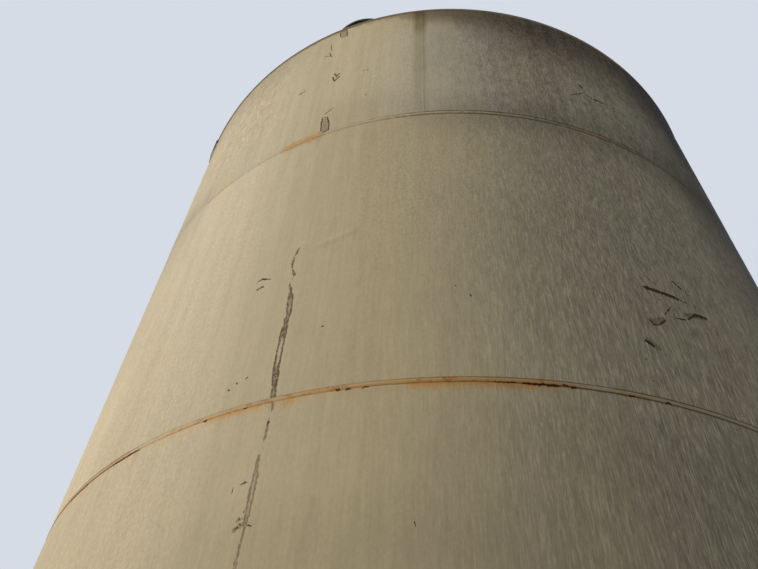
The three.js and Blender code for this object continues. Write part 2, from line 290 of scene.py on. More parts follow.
# A scrape's rows are height, millimetres past azimuth -17, half width in millimetres, hollow.
marks = {
    "lower": {
        "scratches": [
            (-17.91, 2.18, -17.34, 2.184, 2.4), (-18.71, 2.161, -18.7, 2.178, 1.3),
            (-16.41, 2.062, -16.04, 2.058, 2.8), (-16.44, 2.37, -16.47, 2.361, 3.6),
            (-2.58, 2.029, -2.5, 2.015, 1.4), (-17.52, 2.056, -17.36, 2.06, 2.4),
            (-17.42, 2.084, -17.34, 2.08, 1.8), (-17.28, 2.07, -17.1, 2.066, 2.3),
            (-17.08, 2.1, -17.02, 2.103, 1.8), (-17.62, 2.188, -17.5, 2.186, 3.2),
        ],
        "smudges": [(-17.61, 2.055, -17.01, 2.066, 8), (-17.52, 2.078, -17.16, 2.083, 4)],
        "scrape": [
            (1.6, 2, 1.4, 0), (1.959, 6, 5, 0.6), (1.985, 6.5, 3.4, 0), (2.012, 6.4, 3, 0),
            (2.054, 9.6, 4.4, 0), (2.073, 10, 6.4, 0.2), (2.105, 10.3, 7.4, 0.8), (2.138, 9.3, 8.8, 1),
            (2.204, 10.7, 8.2, 1), (2.216, 9.6, 6, 0), (2.24, 8.6, 5.2, 0), (2.262, 7.6, 4, 0),
            (2.267, 8, 0.4, 0), (2.302, 14, 0.4, 0), (2.314, 15.3, 3.8, 0), (2.37, 16.5, 3.8, 0),
            (2.38, 16.5, 0.8, 0), (2.402, 18, 0.6, 0), (2.409, 20.8, 3, 0), (2.436, 18, 4, 0),
        ],
        "scrapeLook": {"body": 0.75, "dark": 0.42, "low": 0.18, "high": 0.32, "pale": 0.6},
    },
    "middle": {
        "scratches": [
            (23.15, 2.94, 27.01, 2.935, 11.5), (27.01, 2.935, 28.26, 2.929, 4),
            (22.67, 2.999, 23.12, 2.974, 2.2), (23.57, 3.007, 24.7, 2.972, 2.4),
            (27.53, 3.027, 28.45, 3.002, 5.6), (28.6, 2.996, 29.42, 2.981, 2.6),
            (22.16, 2.774, 22.45, 2.758, 4.2), (22.45, 2.758, 23.18, 2.766, 4.4),
            (23.18, 2.766, 24.11, 2.795, 4.2), (24.11, 2.795, 23.93, 2.808, 3.4),
            (24.4, 2.823, 25.76, 2.88, 2.6), (25.94, 2.827, 27.05, 2.833, 5),
            (27.52, 2.842, 29.01, 2.882, 4.6), (29.01, 2.882, 29.97, 2.886, 10.5),
            (29.97, 2.886, 30.64, 2.886, 6), (20.78, 2.672, 21.39, 2.66, 9.5),
            (24.31, 2.893, 24.51, 2.894, 3), (20, 2.594, 20.09, 2.593, 2.8),
            (19.99, 2.512, 20.08, 2.51, 2.8), (29.48, 2.931, 29.59, 2.922, 3),
            (-22, 3.021, -21.42, 3.027, 4.4), (-21.42, 3.027, -20.87, 3.019, 6.2),
            (-20.87, 3.019, -20.2, 3.01, 3.4), (-21.76, 2.976, -21.06, 2.981, 6),
            (-22.1, 2.532, -21.97, 2.531, 3.2), (-21.3, 2.547, -21.09, 2.551, 3),
            (-20.24, 2.557, -20.04, 2.561, 3.4), (1.52, 2.827, 1.61, 2.823, 3.2),
            (2.99, 2.783, 3.09, 2.777, 3.2), (-12.43, 2.704, -12.17, 2.706, 2.8),
        ],
        "smudges": [
            (20.8, 2.68, 21.9, 2.655, 14), (27.6, 2.862, 30.4, 2.886, 14), (22.3, 2.772, 23.9, 2.794, 14),
        ],
        "scrape": [
            (2.427, 19.9, 3.4, 0), (2.449, 15, 7.7, 0), (2.472, 13.5, 8.6, 0.3), (2.494, 12.4, 7.8, 0),
            (2.523, 9.7, 11.1, 0), (2.547, 8.5, 11.8, 0), (2.571, 5.3, 9.8, 0.3), (2.595, 6.1, 10.8, 1),
            (2.635, 5.3, 10.9, 1), (2.675, 6, 10.1, 1), (2.701, 5.5, 12, 0), (2.723, 5, 12.1, 0),
            (2.749, 8.4, 9.1, 0), (2.771, 6.6, 9.5, 0), (2.792, 11, 8.3, 0.2), (2.82, 9.4, 10.6, 0.5),
            (2.85, 6.9, 10.4, 0.4), (2.886, 5, 10.8, 0), (2.905, 1, 3, 0), (2.921, -0.4, 6.6, 0),
            (2.946, -8.8, 3, 0), (2.962, -6, 0.5, 0), (2.98, 0, 2, 0), (2.993, 2, 5, 0),
            (3.012, -5.4, 4.6, 0), (3.03, -12, 1.5, 0), (3.055, -15.3, 4, 0), (3.084, -13.9, 3.6, 0),
            (3.098, -12, 0.8, 0), (3.112, -8, 4.4, 0), (3.138, -1, 4.4, 0), (3.146, 0, 0, 0),
        ],
        "scrapeLook": {"body": 0.9, "dark": 1, "low": 0.28, "high": 0.42, "pale": 0.85},
        "crease": [
            (-16.5, 3.157, -14.6, 3.129, 30), (-14.6, 3.129, -12.6, 3.14, 30),
            (-12.6, 3.14, -10.3, 3.166, 30),
        ],
        "dirtLines": [(-3.9, 3.077, 0.7, 3.077, 7), (-5.9, 3.307, 4.5, 3.307, 6)],
    },
    "upper": {
        "scratches": [
            (-19.54, 5.034, -19, 4.931, 2.6), (-20.27, 4.895, -19.03, 4.866, 4),
            (-19.41, 4.918, -18.87, 4.849, 4), (-17.61, 4.566, -17.06, 4.507, 4.9),
            (-17.06, 4.507, -16.26, 4.541, 6.6), (-17.31, 4.602, -16.8, 4.553, 5.5),
            (-16.74, 4.558, -16.38, 4.581, 5.5), (-17.03, 4.644, -16.61, 4.651, 2.2),
            (-17.52, 4.163, -16.32, 4.197, 4.3), (-11.99, 4.528, -10.86, 4.519, 2.6),
            (-10.87, 4.242, -10.77, 4.235, 3.4), (-24.1, 4.528, -22.9, 4.54, 5),
            (22.4, 4.314, 25.37, 4.399, 4.2), (25.37, 4.399, 26.69, 4.362, 4.6),
            (26.69, 4.362, 29.79, 4.373, 4.4), (24.9, 4.478, 25.4, 4.455, 8.5),
            (27.4, 4.372, 28.4, 4.368, 9.5), (-18.02, 5.163, -17.77, 5.097, 4.2),
            (-16.63, 5.17, -16.31, 5.072, 4.2), (-17.67, 4.004, -17.85, 4.078, 4.2),
            (-17.85, 4.078, -17.83, 4.13, 4.2), (-17.83, 4.13, -17.02, 4.124, 3.8),
            (-17.02, 4.124, -16.43, 4.055, 4.2), (-16.43, 4.055, -16.35, 3.988, 4.1),
            (-17.19, 3.99, -16.54, 3.994, 4.1),
        ],
        "smudges": [(-17.3, 5.181, -16.99, 5.086, 23), (-17.3, 4.105, -16.94, 3.995, 19.5)],
    },
}


def strokes(paint, flat, lines):
    # how far inside the nearest of some short strokes on the unrolled shell: 1 on its line, 0 at its edge
    inside = None
    for fromAzimuth, fromHeight, toAzimuth, toHeight, halfWidth in lines:
        start = Vector((radians(fromAzimuth) * shell["radius"], fromHeight, 0))
        run = Vector((radians(toAzimuth) * shell["radius"], toHeight, 0)) - start
        past = paint.vector("SUBTRACT", flat, start)
        share = paint.value("ShaderNodeVectorMath", {"operation": "DOT_PRODUCT"},
                            {0: past, 1: run / run.length_squared}, "Value")
        share = paint.value("ShaderNodeMath", {"operation": "MULTIPLY", "use_clamp": True},
                            {0: share, 1: 1.0})
        off = paint.vector("SUBTRACT", past, paint.scaled(run, share))
        away = paint.value("ShaderNodeVectorMath", {"operation": "LENGTH"}, {0: off}, "Value")
        near = away.maths("MULTIPLY_ADD", -1000 / halfWidth, 1.0)
        inside = near if inside is None else inside.larger(near)
    return inside


def unrolled(paint, arc, height):
    # the shell laid flat, a little shaken so that marks on it get ragged edges
    shaken = paint.node("ShaderNodeTexNoise", {}, {"Vector": paint.place, "Scale": 110, "Detail": 3})
    shake = paint.vector("SUBTRACT", shaken.outputs["Color"], (0.5, 0.5, 0.5))
    return paint.vector("ADD", paint.flat(arc, height), paint.vector("MULTIPLY", shake, (0.011, 0.014, 0)))


def seamRust(paint, flat, broken, colour):
    # rust blooms and black pits along the lower seam
    bloom = (strokes(paint, flat, seamMarks["rust"]) + broken.swing(2.2)).between(-0.4, 1.2)
    colour = paint.tinted(colour, bloom * 0.85, "bloom")
    pit = (strokes(paint, flat, seamMarks["spots"]) + broken.swing(1.4)).between(-0.1, 0.6)
    return paint.tinted(colour, pit, "pit")


def longScrape(paint, arc, height, knots):
    # a scrape that runs up the shell: its middle, half width and hollow are read off a ramp along the height
    low, high = knots[0][0], knots[-1][0]
    reach, widest = 100, 40  # millimetres that a full colour channel stands for
    stops = [((z - low) / (high - low), (0.5 + middle / reach, half / widest, hollow, 1))
             for z, middle, half, hollow in knots]
    along = (height - low) / (high - low)
    ramp = paint.node("ShaderNodeValToRGB", {"stops": stops}, {0: along})
    split = paint.node("ShaderNodeSeparateColor", {}, {0: ramp.outputs[0]})
    middle, half, hollow = (Signal(paint, output) for output in split.outputs)
    past = (arc - radians(-17) * shell["radius"]) * 1000 - middle.swing(reach)
    across = abs(past) / (half * widest + 0.01)
    span = along.between(-0.002, 0.002) * along.between(1.002, 0.998) * half.between(0.01, 0.03)
    return across, hollow, span


def weatheringAndShade(paint):
    # the places on the shell, and how far each side has aged: 0 is none of it and 1 the full state. The
    # cream on the left carries a painted sheen as well as unmarked paint, and the deepest state is painted
    # shadow, with grime, on the right side.
    x, y, z = paint.parts(paint.place)
    turn = x.maths("ARCTAN2", 0 - y)
    clouds = paint.noise((1, 1, 0.5), 2.2, 3, 0.55)
    streak = paint.noise((1, 1, 0.045), 21, 4, 0.6)
    ragged = turn + clouds.swing(0.22) + streak.swing(0.08)

    def side(start, end, stop=100, back=150, along=ragged):
        return along.between(radians(start), radians(end)) * along.between(radians(back), radians(stop))

    return {
        "z": z, "turn": turn, "arc": turn * shell["radius"], "clouds": clouds, "streak": streak,
        "side": side, "dull": side(-30, -18, 150, 178, turn + clouds.swing(0.10)),
        "mould": side(-7, 19, 105, 150), "shadowGrime": side(35, 51, 66, 115), "rough": side(-8, 27, 120, 160),
    }


def weatheredAndShaded(paint, where):
    # the cream on the left is unmarked paint with a painted sheen
    colour = paint.mix(where["dull"], "cream", "dull")
    colour = paint.mix(where["mould"], colour, "mould")
    # the darkest colour is painted shadow with grime on the right side
    return paint.mix(where["shadowGrime"], colour, "shadowGrime")


def toeLines(seam, off, where, spotty):
    # the dark lines along both toes of a girth weld; off is the height over its middle in millimetres
    side, turn = where["side"], where["turn"]
    if seam == 0:
        left = side(-72, -60, -36, -32, turn)
        above = 0.42 + left * 0.75 + side(-8, 5) * 0.36 + side(12, 20) * 0.3
        below = left * 1.25 + side(-14, 4) * 0.45 + side(4, 9) * 0.5
        near, far, broken = (4.6, 6.6), (12.0, 9.6), spotty * 1.3 + 0.4
    else:
        above = 0.20 + side(-14, 3) * 0.80 + side(8, 24) * 0.1
        below = above + side(-10, 4) * 0.25 + side(18, 32) * 0.4
        near, far, broken = (7.0, 10.5), (20.0, 14.0), spotty * 3.4 - 0.7
    over = off.between(*near) * off.between(*far) * above
    under = off.between(-near[0], -near[1]) * off.between(-far[0], -far[1]) * below
    return (over + under) * broken


def rimDirtAndShade(paint, where, fine, colour):
    # the dirt under the rim, which reaches further down on the mouldy side, and painted shadow with some
    # dirt on the right below the rim
    z, streak, clouds, side = (where[part] for part in ("z", "streak", "clouds", "side"))
    depth = 0.028 + side(-18, -8) * 0.03 + side(-8, 1) * 0.18 + side(4, 11) * 0.19
    depth = depth + streak.swing(0.22) + fine.swing(0.08) + clouds.swing(side(-4, 6)) * 0.34
    ring = ((shell["top"] - z) / depth.larger(0.012)).between(1.1, 0.25)
    ring = ring * (0.25 + side(-14, 8, 60, 125) * 0.40)
    ring = ring * (1 - side(4, 14) * (1 - z.between(5.176, 5.168)) * 0.6) * (1 - side(12, 28) * 0.28)
    left = side(-18, -32, -70, -110) * (0.05 + z.between(4.7, 5.17) * 0.22)
    left = left + side(-20, -42, -75, -110) * z.between(4.4, 4.0) * 0.12
    # painted shadow with some dirt on the right below the rim, and more of it far round on the right
    right = side(7, 20, 60, 120) * z.between(4.40, 4.95) * 0.47
    far = side(33, 47, 53, 76) * z.between(4.2, 4.9) * 0.42
    far = far + side(43, 49, 52, 68) * z.between(4.1, 4.6) * 0.34
    # a brown tint on the dirt under the rim and on the painted shadow
    colour = paint.tinted(colour, (ring + right) * 1.5, "rimDirtAndShade")
    # run-off from the rim along the upright weld
    run = abs(where["arc"] + 0.062 + fine.swing(0.02))
    soak = z.between(4.80, 5.02) * 0.76 + z.between(3.6, 4.5) * (0.24 + streak * 0.3)
    colour = paint.tinted(colour, run.between(0.050, 0.012) * soak * (0.4 + fine * 1.2), "soak")
    colour = paint.tinted(colour, side(-16, -2) * side(16, 9, 40, 80) * z.between(5.02, 4.90), "cool")
    pale = side(-22, -14, -8, 1) * z.between(4.1, 4.4) * 0.13
    return colour, (1 - ring) * (1 - left) * (1 - right) * (1 - far) * (1 + pale)


def seamStains(paint, seam, where, patches, colour):
    # rust, dirt and drips on the plates along a girth weld
    z, turn, streak, side = (where[part] for part in ("z", "turn", "streak", "side"))
    off = (z - shell["seams"][seam]) * 1000
    spotty = paint.noise((1, 1, 1), 34, 4, 0.65)
    if seam == 0:
        rusty, strong = side(-52, -47, 9.5, 12, turn), side(-5, 0, 8.5, 13, turn)
    else:
        rusty = strong = side(-26, -23, -18, -16, turn) + side(-42, -40, -35, -32, turn) * 0.4
    stain = off.between(-46, -6) * off.between(4, -6) * (spotty + patches.swing(0.8) + strong * 0.1)
    colour = paint.tinted(colour, stain.between(0.46, 0.95) * rusty.larger(0.08) * 0.8, "stain")
    if seam == 0:
        blush = off.between(-46, -16) * off.between(10, 0) * (0.3 + patches * 0.9)
        colour = paint.tinted(colour, blush * (rusty * 0.4 + strong * 0.4), "blush")
    else:
        spread = abs(off).between(66, 4) * rusty * (0.8 + spotty.swing(3.5))
        colour = paint.tinted(colour, spread.between(0.15, 0.8) * 0.95, "spread")
    colour = paint.tinted(colour, toeLines(seam, off, where, spotty), "toeDark")
    drips = streak.between(0.57, 0.68) * off.between(-170, -8) * off.between(2, -6)
    colour = paint.mix(drips * (rusty * 0.30 + 0.06), colour, "drip")
    specks = paint.noise((1, 1, 1), 120, 3, 0.6).between(0.645, 0.70) * abs(off).between(20, 9)
    return paint.mix(specks * (0.2 + rusty * 0.5), colour, "rustDark")


def scuffed(paint, level, flat, broken, colour):
    # smudges, the long scrape and the scratches; also says where the paint is cut through
    smudge = strokes(paint, flat, marks[level]["smudges"]).between(0.0, 0.35)
    colour = paint.tinted(colour, smudge * (0.45 + broken * 0.9), "smudge")
    if "scrape" in marks[level]:
        look = marks[level]["scrapeLook"]
        shakenArc, shakenHeight = paint.parts(flat)[:2]
        across, hollow, span = longScrape(paint, shakenArc, shakenHeight, marks[level]["scrape"])
        body = across.between(1.08, 0.92) * span
        colour = paint.mix(body * look["body"], colour, "bare")
        dark = (across.between(0.45, 0.8) * 0.6 + (broken - 0.40) * 4.5).between(0.2, 0.7)
        dark = dark * body * look["dark"] * (1 - hollow * across.between(0.6, 0.4))
        colour = paint.mix(dark, colour, "bareDark")
        # a painted highlight inside the hollow of the scrape
        pale = across.between(look["high"], look["low"]) * hollow * span * look["pale"]
        colour = paint.mix(pale, colour, "flakeAndHighlight")
    scratch = strokes(paint, flat, marks[level]["scratches"])
    # a pale halo round the scratches: raised paint with a painted highlight on its edges
    haloHighlight = scratch.between(-1.0, -0.25) * broken.between(0.42, 0.58)
    colour = paint.mix(haloHighlight * 0.22, colour, "flakeAndHighlight")
    cut = (scratch + broken.swing(1.1)).between(0.05, 0.40)
    return paint.mix(cut * 0.92, colour, "scratch"), cut


# Broad darkening on each course, painted shadow on the right side of the middle and upper courses: the
# sides, the heights from none to all of it, and how much darker.
shades = {
    "roof": [],
    "lower": [((-14, 16), (2.5, 2.2), 0.15), ((-34, -16, 3, 12), (2.18, 2.0), 0.11)],
    "middle": [((24, 42, 60, 110), (3.3, 4.2), 0.18), ((40, 50, 60, 90), (3.0, 4.0), 0.25),
               ((-38, -46, -75, -110), (3.3, 2.7), -0.15)],
}
shades["upper"] = shades["middle"]
seamsOf = {"roof": (), "lower": (0,), "middle": (0, 1), "upper": (1,)}


def shellPaint(name, level):
    paint = Finish(name)
    where = weatheringAndShade(paint)
    z, arc, streak, side = (where[part] for part in ("z", "arc", "streak", "side"))
    fine = paint.noise((1, 1, 0.06), 95, 3, 0.6)
    fibre = paint.noise((1, 1, 0.07), 270, 3, 0.62, warp=0.35)
    blots = paint.noise((1, 1, 0.5), 27, 4, 0.65)
    cloth = paint.noise((1, 1, 0.6), 120, 4, 0.7)
    patches = paint.noise((1, 1, 0.6), 6, 4, 0.6)
    if level == "roof":
        # on the roof the mould, the painted shadow with grime and the rough patches fade out towards the
        # crown
        x, y = paint.parts(paint.place)[:2]
        radius = (x * x + y * y) ** 0.5
        for state in ("mould", "shadowGrime", "rough"):
            where[state] = where[state] * radius.between(0.2, 1.65) * 0.55
        where["dull"] = where["dull"] * 0.3 + 0.5
    rough = where["rough"] * (0.7 + patches * 0.6)
    if level == "upper":
        rough = rough.larger(side(-22, -34, -75, -110) * z.between(4.0, 4.5) * 0.5)

    # mildew: broad mauve and olive patches under a web of fine upright streaks
    colour = weatheredAndShaded(paint, where)
    colour = paint.tinted(colour, patches.between(0.46, 0.60) * rough * 0.45, "mauve")
    colour = paint.tinted(colour, patches.between(0.50, 0.38) * rough * 0.45, "olive")
    web = fibre.between(0.53, 0.62) * 0.50 - fibre.between(0.49, 0.38) * 0.30
    coarse = 0.32 + rough * 0.28 + side(-16, -3) * z.between(2.7, 3.5) * 0.5
    coarse = coarse + side(-18, -30, -75, -100) * 0.45
    light = 1 + streak.swing(0.30) + fine.swing(0.24) + cloth.swing(coarse) + web * rough
    light = light + blots.swing(0.16 + rough * (0.9 if level == "upper" else 0.2))
    if level == "upper":
        # dirt under the rim, and painted shadow with dirt on the right side
        colour, dirtAndShade = rimDirtAndShade(paint, where, fine, colour)
        light = light * dirtAndShade
        # thin level lines in the dirt near the rim
        lines = paint.noise((0.16, 1, 1), 150, 3, 0.65, place=paint.flat(arc, z), warp=0.5)
        light = light + lines.between(0.54, 0.64) * side(2, 14) * z.between(4.7, 5.0) * 0.12
        # swirls and upright wisps where the dirt was wiped or washed thin
        swirl = paint.noise((1, 1, 0.45), 30, 3, 0.6, warp=2.2)
        wisps = swirl.between(0.49, 0.53) * swirl.between(0.59, 0.55) * z.between(4.15, 4.4) * 0.22
        light = light + side(3, 13, 60, 120) * (wisps - 0.03 + streak.swing(0.45))
    if level == "lower":
        splash = z.between(0.55, 0.0) * z.between(0.60, 0.05) * (0.2 + patches * 0.9 + fine.swing(0.5))
        colour = paint.tinted(colour, splash * 0.8, "splash")
        # rusty run-off under the manway at the back and under the nozzles on the sides
        x, y = paint.parts(paint.place)[:2]
        under = abs(x).between(0.46, 0.24) * y.between(1.0, 1.3) * z.between(0.70, 0.30)
        under = under + abs(y).between(0.085, 0.020) * z.between(0.30, 0.22) * 1.2
        runs = under * streak.between(0.44, 0.60) * (0.4 + fine * 0.8)
        colour = paint.tinted(colour, runs.smaller(1.0) * 0.75, "runs")
    # broad darkening; on the middle and upper courses mostly painted shadow on the right side
    for sides, heights, amount in shades[level]:
        light = light * (1 - side(*sides) * z.between(*heights) * amount)
    if level in ("middle", "upper"):
        light = light * (1 - side(-38, -46, -75, -110) * z.between(3.4, 3.9) * z.between(4.2, 4.0) * 0.16)
        light = light * (1 - abs(z - shell["seams"][1]).between(0.26, 0.02) * side(-9, 3) * 0.24)
    if level == "roof":
        colour = paint.mix(patches.between(0.46, 0.64) * 0.55, colour, "mould")
        dark = blots.between(0.50, 0.66) * radius.between(0.9, 1.6)
        colour = paint.tinted(colour, dark * 0.5, "roofBlots")
        light = light * (1 - radius.between(1.672, 1.679) * 0.1) * (1 + where["clouds"].swing(0.5))
    colour = paint.scaled(colour, light)
    height = fibre * 0.00012 + fine * 0.00008 + cloth * 0.00018
    roughness = 0.66 + rough * 0.22 + fine.swing(0.2)

    for seam in seamsOf[level]:
        colour = seamStains(paint, seam, where, patches, colour)
    if level in marks:
        flat = unrolled(paint, arc, z)
        broken = paint.noise((1, 1, 0.6), 150, 2, 0.6)
        if level == "lower":
            colour = seamRust(paint, flat, broken, colour)
        colour, cut = scuffed(paint, level, flat, broken, colour)
        roughness = roughness + cut * 0.2
    if level == "middle":
        # a soft crease in the plate, and two faint level lines of dirt
        crease = strokes(paint, flat, marks[level]["crease"]).larger(0.0)
        height = height + crease * crease * (3 - crease * 2) * 0.0018
        lines = strokes(paint, flat, marks[level]["dirtLines"]).between(0.1, 0.9)
        colour = paint.tinted(colour, lines * fine.between(0.44, 0.6) * 0.4, "dirtLine")
    return paint.close(colour, roughness, height, gloss=0.12)


def fittingPaint(name):
    # the shell's paint on necks, flanges and the manway: more dirt and chips, rust at the chips
    paint = Finish(name)
    clouds = paint.noise((1, 1, 0.6), 7, 4, 0.6)
    streak = paint.noise((1, 1, 0.08), 60, 3, 0.6)
    grain = paint.noise((1, 1, 1), 190, 4, 0.65)
    chips = paint.noise((1, 1, 1), 38, 5, 0.62)
    colour = weatheredAndShaded(paint, weatheringAndShade(paint))
    colour = paint.mix(clouds.between(0.42, 0.68) * 0.45, colour, "mould")
    colour = paint.scaled(colour, 1 - streak.between(0.48, 0.7) * 0.16 + grain.swing(0.4))
    chip = chips.between(0.655, 0.68)
    colour = paint.mix(chips.between(0.60, 0.67) * 0.45, colour, "rust")
    colour = paint.mix(chip, colour, "rustDark")
    height = grain * 0.00012 - chip * 0.00025 + streak * 0.0001
    return paint.close(colour, 0.60 + chip * 0.3, height, gloss=0.3)


def weldPaint(name, seam=None, shadeUnderRoof=0.0):
    # a painted bead: the shell's mould and dirt with its painted sheen and shadow, lumps, and rust through
    # the paint; it can be darkened as painted shade
    paint = Finish(name)
    where = weatheringAndShade(paint)
    turn, side = where["turn"], where["side"]
    spotty = paint.noise((1, 1, 1), 46, 4, 0.65)
    broad = paint.noise((1, 1, 1), 8, 4, 0.65)
    grain = paint.noise((1, 1, 1), 260, 3, 0.6)
    colour = paint.scaled(weatheredAndShaded(paint, where), 1 - shadeUnderRoof + broad.swing(0.35) + grain.swing(0.35))
    if seam is None:
        colour = paint.tinted(colour, spotty.between(0.40, 0.62) * 0.5, "weldDirt")
        colour = paint.mix(spotty.between(0.62, 0.72) * 0.5, colour, "rustDark")
    else:
        off = (where["z"] - shell["seams"][seam]) * 1000 + spotty.swing(2.5)
        if seam == 0:
            rusty = side(-40, -22, 10, 14, turn) * 0.55 + side(-16, 0, 9, 12, turn) * 0.4
            rusty = rusty + side(10, 14) * 0.12
        else:
            rusty = side(-26, -23, -18, -16, turn) + side(-42, -40, -35, -32, turn) * 0.5
            rusty = rusty + side(13, 18, 26, 32, turn) * 0.4
            worn = side(-12, 2, 60, 120) * (0.32 + spotty.swing(2.2)) + side(18, 34, 60, 120) * 0.5
            colour = paint.tinted(colour, worn, "worn")
        amount = rusty * (0.85 + broad.swing(2.2) + off.between(2, -4) * 0.6)
        colour = paint.tinted(colour, amount, "weldRust")
        if seam == 0:
            brown = side(-74, -60, -37, -33, turn) * (0.75 + broad.swing(1.6))
            colour = paint.tinted(colour, brown, "weldBrown")
        flecks = (spotty + broad.swing(0.5)).between(0.56, 0.64)
        colour = paint.mix(flecks * (0.12 + rusty * 0.4), colour, "fleck")
        if seam == 0:
            broken = paint.noise((1, 1, 0.6), 150, 2, 0.6)
            colour = seamRust(paint, unrolled(paint, where["arc"], where["z"]), broken, colour)
        colour = paint.tinted(colour, toeLines(seam, off, where, spotty), "toeDark")
    return paint.close(colour, 0.66 + spotty * 0.2, grain * 0.00022 + spotty * 0.0004, gloss=0.15)


def darkSteel(name):
    steel = Finish(name)
    clouds = steel.noise((1, 1, 1), 9, 4, 0.6)
    spotty = steel.noise((1, 1, 1), 55, 5, 0.65)
    grain = steel.noise((1, 1, 1), 300, 3, 0.6)
    up = steel.parts(steel.node("ShaderNodeNewGeometry", {}, {}).outputs["Normal"])[2]
    dust = up.between(0.2, 0.95) * (clouds * 1.6 - 0.35 + spotty.swing(0.8))
    # near-black steel, which under the hatch lid is also painted shade
    colour = steel.mix(clouds.between(0.35, 0.65), "steel", "steelWorn")
    colour = steel.mix(dust * 0.55, colour, "dust")
    colour = steel.mix(spotty.between(0.56, 0.68) * (0.35 + up.larger(0.0) * 0.5), colour, "steelRust")
    colour = steel.tinted(colour, grain.between(0.5, 0.75) * 0.4, "grain")
    return steel.close(colour, 0.58 + spotty * 0.3, grain * 0.00012 + spotty * 0.0003, gloss=0.4)


def boltSteel(name):
    steel = Finish(name)
    spotty = steel.noise((1, 1, 1), 70, 4, 0.65)
    grain = steel.noise((1, 1, 1), 400, 3, 0.6)
    rust = spotty.between(0.42, 0.60)
    colour = steel.mix(rust, "zinc", "zincRust")
    colour = steel.mix(spotty.between(0.58, 0.68), colour, "zincPit")
    colour = steel.tinted(colour, grain.between(0.5, 0.75) * 0.4, "grain")
    return steel.close(colour, 0.45 + rust * 0.4, grain * 0.00010, metallic=(0.65 - rust * 0.6).larger(0.0))


def gasketSheet(name):
    sheet = Finish(name)
    grain = sheet.noise((1, 1, 1), 350, 3, 0.6)
    colour = sheet.mix(grain.between(0.35, 0.7), "sheet", "sheetWorn")
    return sheet.close(colour, 0.75 + grain * 0.2, grain * 0.0001)


finishes = {
    "lower": shellPaint("paintLowerCourse", "lower"),
    "middle": shellPaint("paintMiddleCourse", "middle"),
    "upper": shellPaint("paintUpperCourse", "upper"),
    "roof": shellPaint("paintRoof", "roof"),
    "fitting": fittingPaint("paintFittings"),
    "lowerBead": weldPaint("weldLowerGirth", 0),
    "middleBead": weldPaint("weldMiddleGirth", 1),
    "bead": weldPaint("weldPlain"),
    # the weld under the roof's overhang is darkened as painted shade
    "rimBead": weldPaint("weldRim", shadeUnderRoof=0.22),
    "steel": darkSteel("darkSteel"),
    "bolt": boltSteel("boltSteel"),
    "gasket": gasketSheet("gasketSheet"),
}
print("finishes made:", len(finishes))

# making and placing meshes

edge = 0.0012  # softened edges
gap = 0.0003  # between seated pieces
play = 0.0002  # between a neck and its flange
holePlay = 0.0004  # between a neck and the plate that it goes through
neckInside = 0.008  # how far a neck reaches in past its plate
offShell = 0.0004  # how far what lies on the shell stands off its mean surface
drill = {"shell": (1.55, 1.80), "roof": (5.0, 5.6)}  # where the drills for necks start and end
slit = 0.012  # degrees between two rolled plates


def shift(x, y, z):
    return Matrix.Translation((x, y, z))


def spin(degrees, axis="Z"):
    return Matrix.Rotation(radians(degrees), 4, axis)


def outward(nozzle):
    # turns a mesh made along Z to face out of the shell where the nozzle is
    return shift(0, 0, nozzle["height"]) @ spin(nozzle["azimuth"]) @ spin(90, "X")


def onRoof(nozzle):
    turn = radians(nozzle["azimuth"])
    return shift(nozzle["centre"] * sin(turn), -nozzle["centre"] * cos(turn), 0)


def evenly(low, high, count):
    return [low + (high - low) * step / count for step in range(count + 1)]


def allRound(count, start=0):
    # azimuths evenly spaced round a circle, from this share of a step
    return [360 * (number + start) / count for number in range(count)]


def ripple(place, scale=1.0):
    return noise.noise(Vector(place) * scale)


def only(parts, kind):
    return [part for part in parts if isinstance(part, kind)]


def tidy(mesh):
    bmesh.ops.remove_doubles(mesh, verts=mesh.verts, dist=1e-6)
    bmesh.ops.recalc_face_normals(mesh, faces=mesh.faces)
    return mesh


def moved(mesh, matrix):
    bmesh.ops.transform(mesh, matrix=matrix, verts=mesh.verts)
    return mesh


def turned(points, steps, sweep=360.0, start=0.0):
    # turns a closed outline of (radius, height) about the upright axis; an open one must end on the axis
    mesh = bmesh.new()
    turn = radians(start)
    corners = [mesh.verts.new((radius * sin(turn), -radius * cos(turn), height))
               for radius, height in points]
    axis = {"cent": (0, 0, 0), "axis": (0, 0, 1), "angle": radians(sweep), "steps": steps}
    if sweep < 360:
        face = mesh.faces.new(corners)
        bmesh.ops.spin(mesh, geom=corners + list(face.edges) + [face], **axis)
    else:
        edges = [mesh.edges.new(pair) for pair in zip(corners, corners[1:])]
        if points[0][0] > 0:
            edges.append(mesh.edges.new((corners[-1], corners[0])))
        bmesh.ops.spin(mesh, geom=corners + edges, use_merge=True, **axis)
    return tidy(mesh)


def drawOut(mesh, face, lift):
    # extrudes a face along a vector, and gives back the face at the new end
    made = bmesh.ops.extrude_face_region(mesh, geom=[face], use_keep_orig=True)["geom"]
    bmesh.ops.translate(mesh, vec=lift, verts=only(made, bmesh.types.BMVert))
    return only(made, bmesh.types.BMFace)[0]


def drawn(outline, lift):
    # a solid with this outline at both ends
    mesh = bmesh.new()
    drawOut(mesh, mesh.faces.new([mesh.verts.new(corner) for corner in outline]), lift)
    return mesh


def sliced(mesh, longest, cuts):
    # cuts across the long edges of a bead, so that it can be made uneven
    lines = [line for line in mesh.edges if line.calc_length() > longest]
    bmesh.ops.subdivide_edges(mesh, edges=lines, cuts=cuts, use_grid_fill=True)
    return mesh


def bevelled(mesh, edges, offset, segments):
    bmesh.ops.bevel(mesh, geom=edges, offset=offset, offset_type="OFFSET", segments=segments, profile=0.5,
                    affect="EDGES", material=-1)
    return mesh


def block(length, depth, height):
    mesh = bmesh.new()
    bmesh.ops.create_cube(mesh, size=1, matrix=Matrix.Diagonal((length, depth, height, 1)))
    return mesh


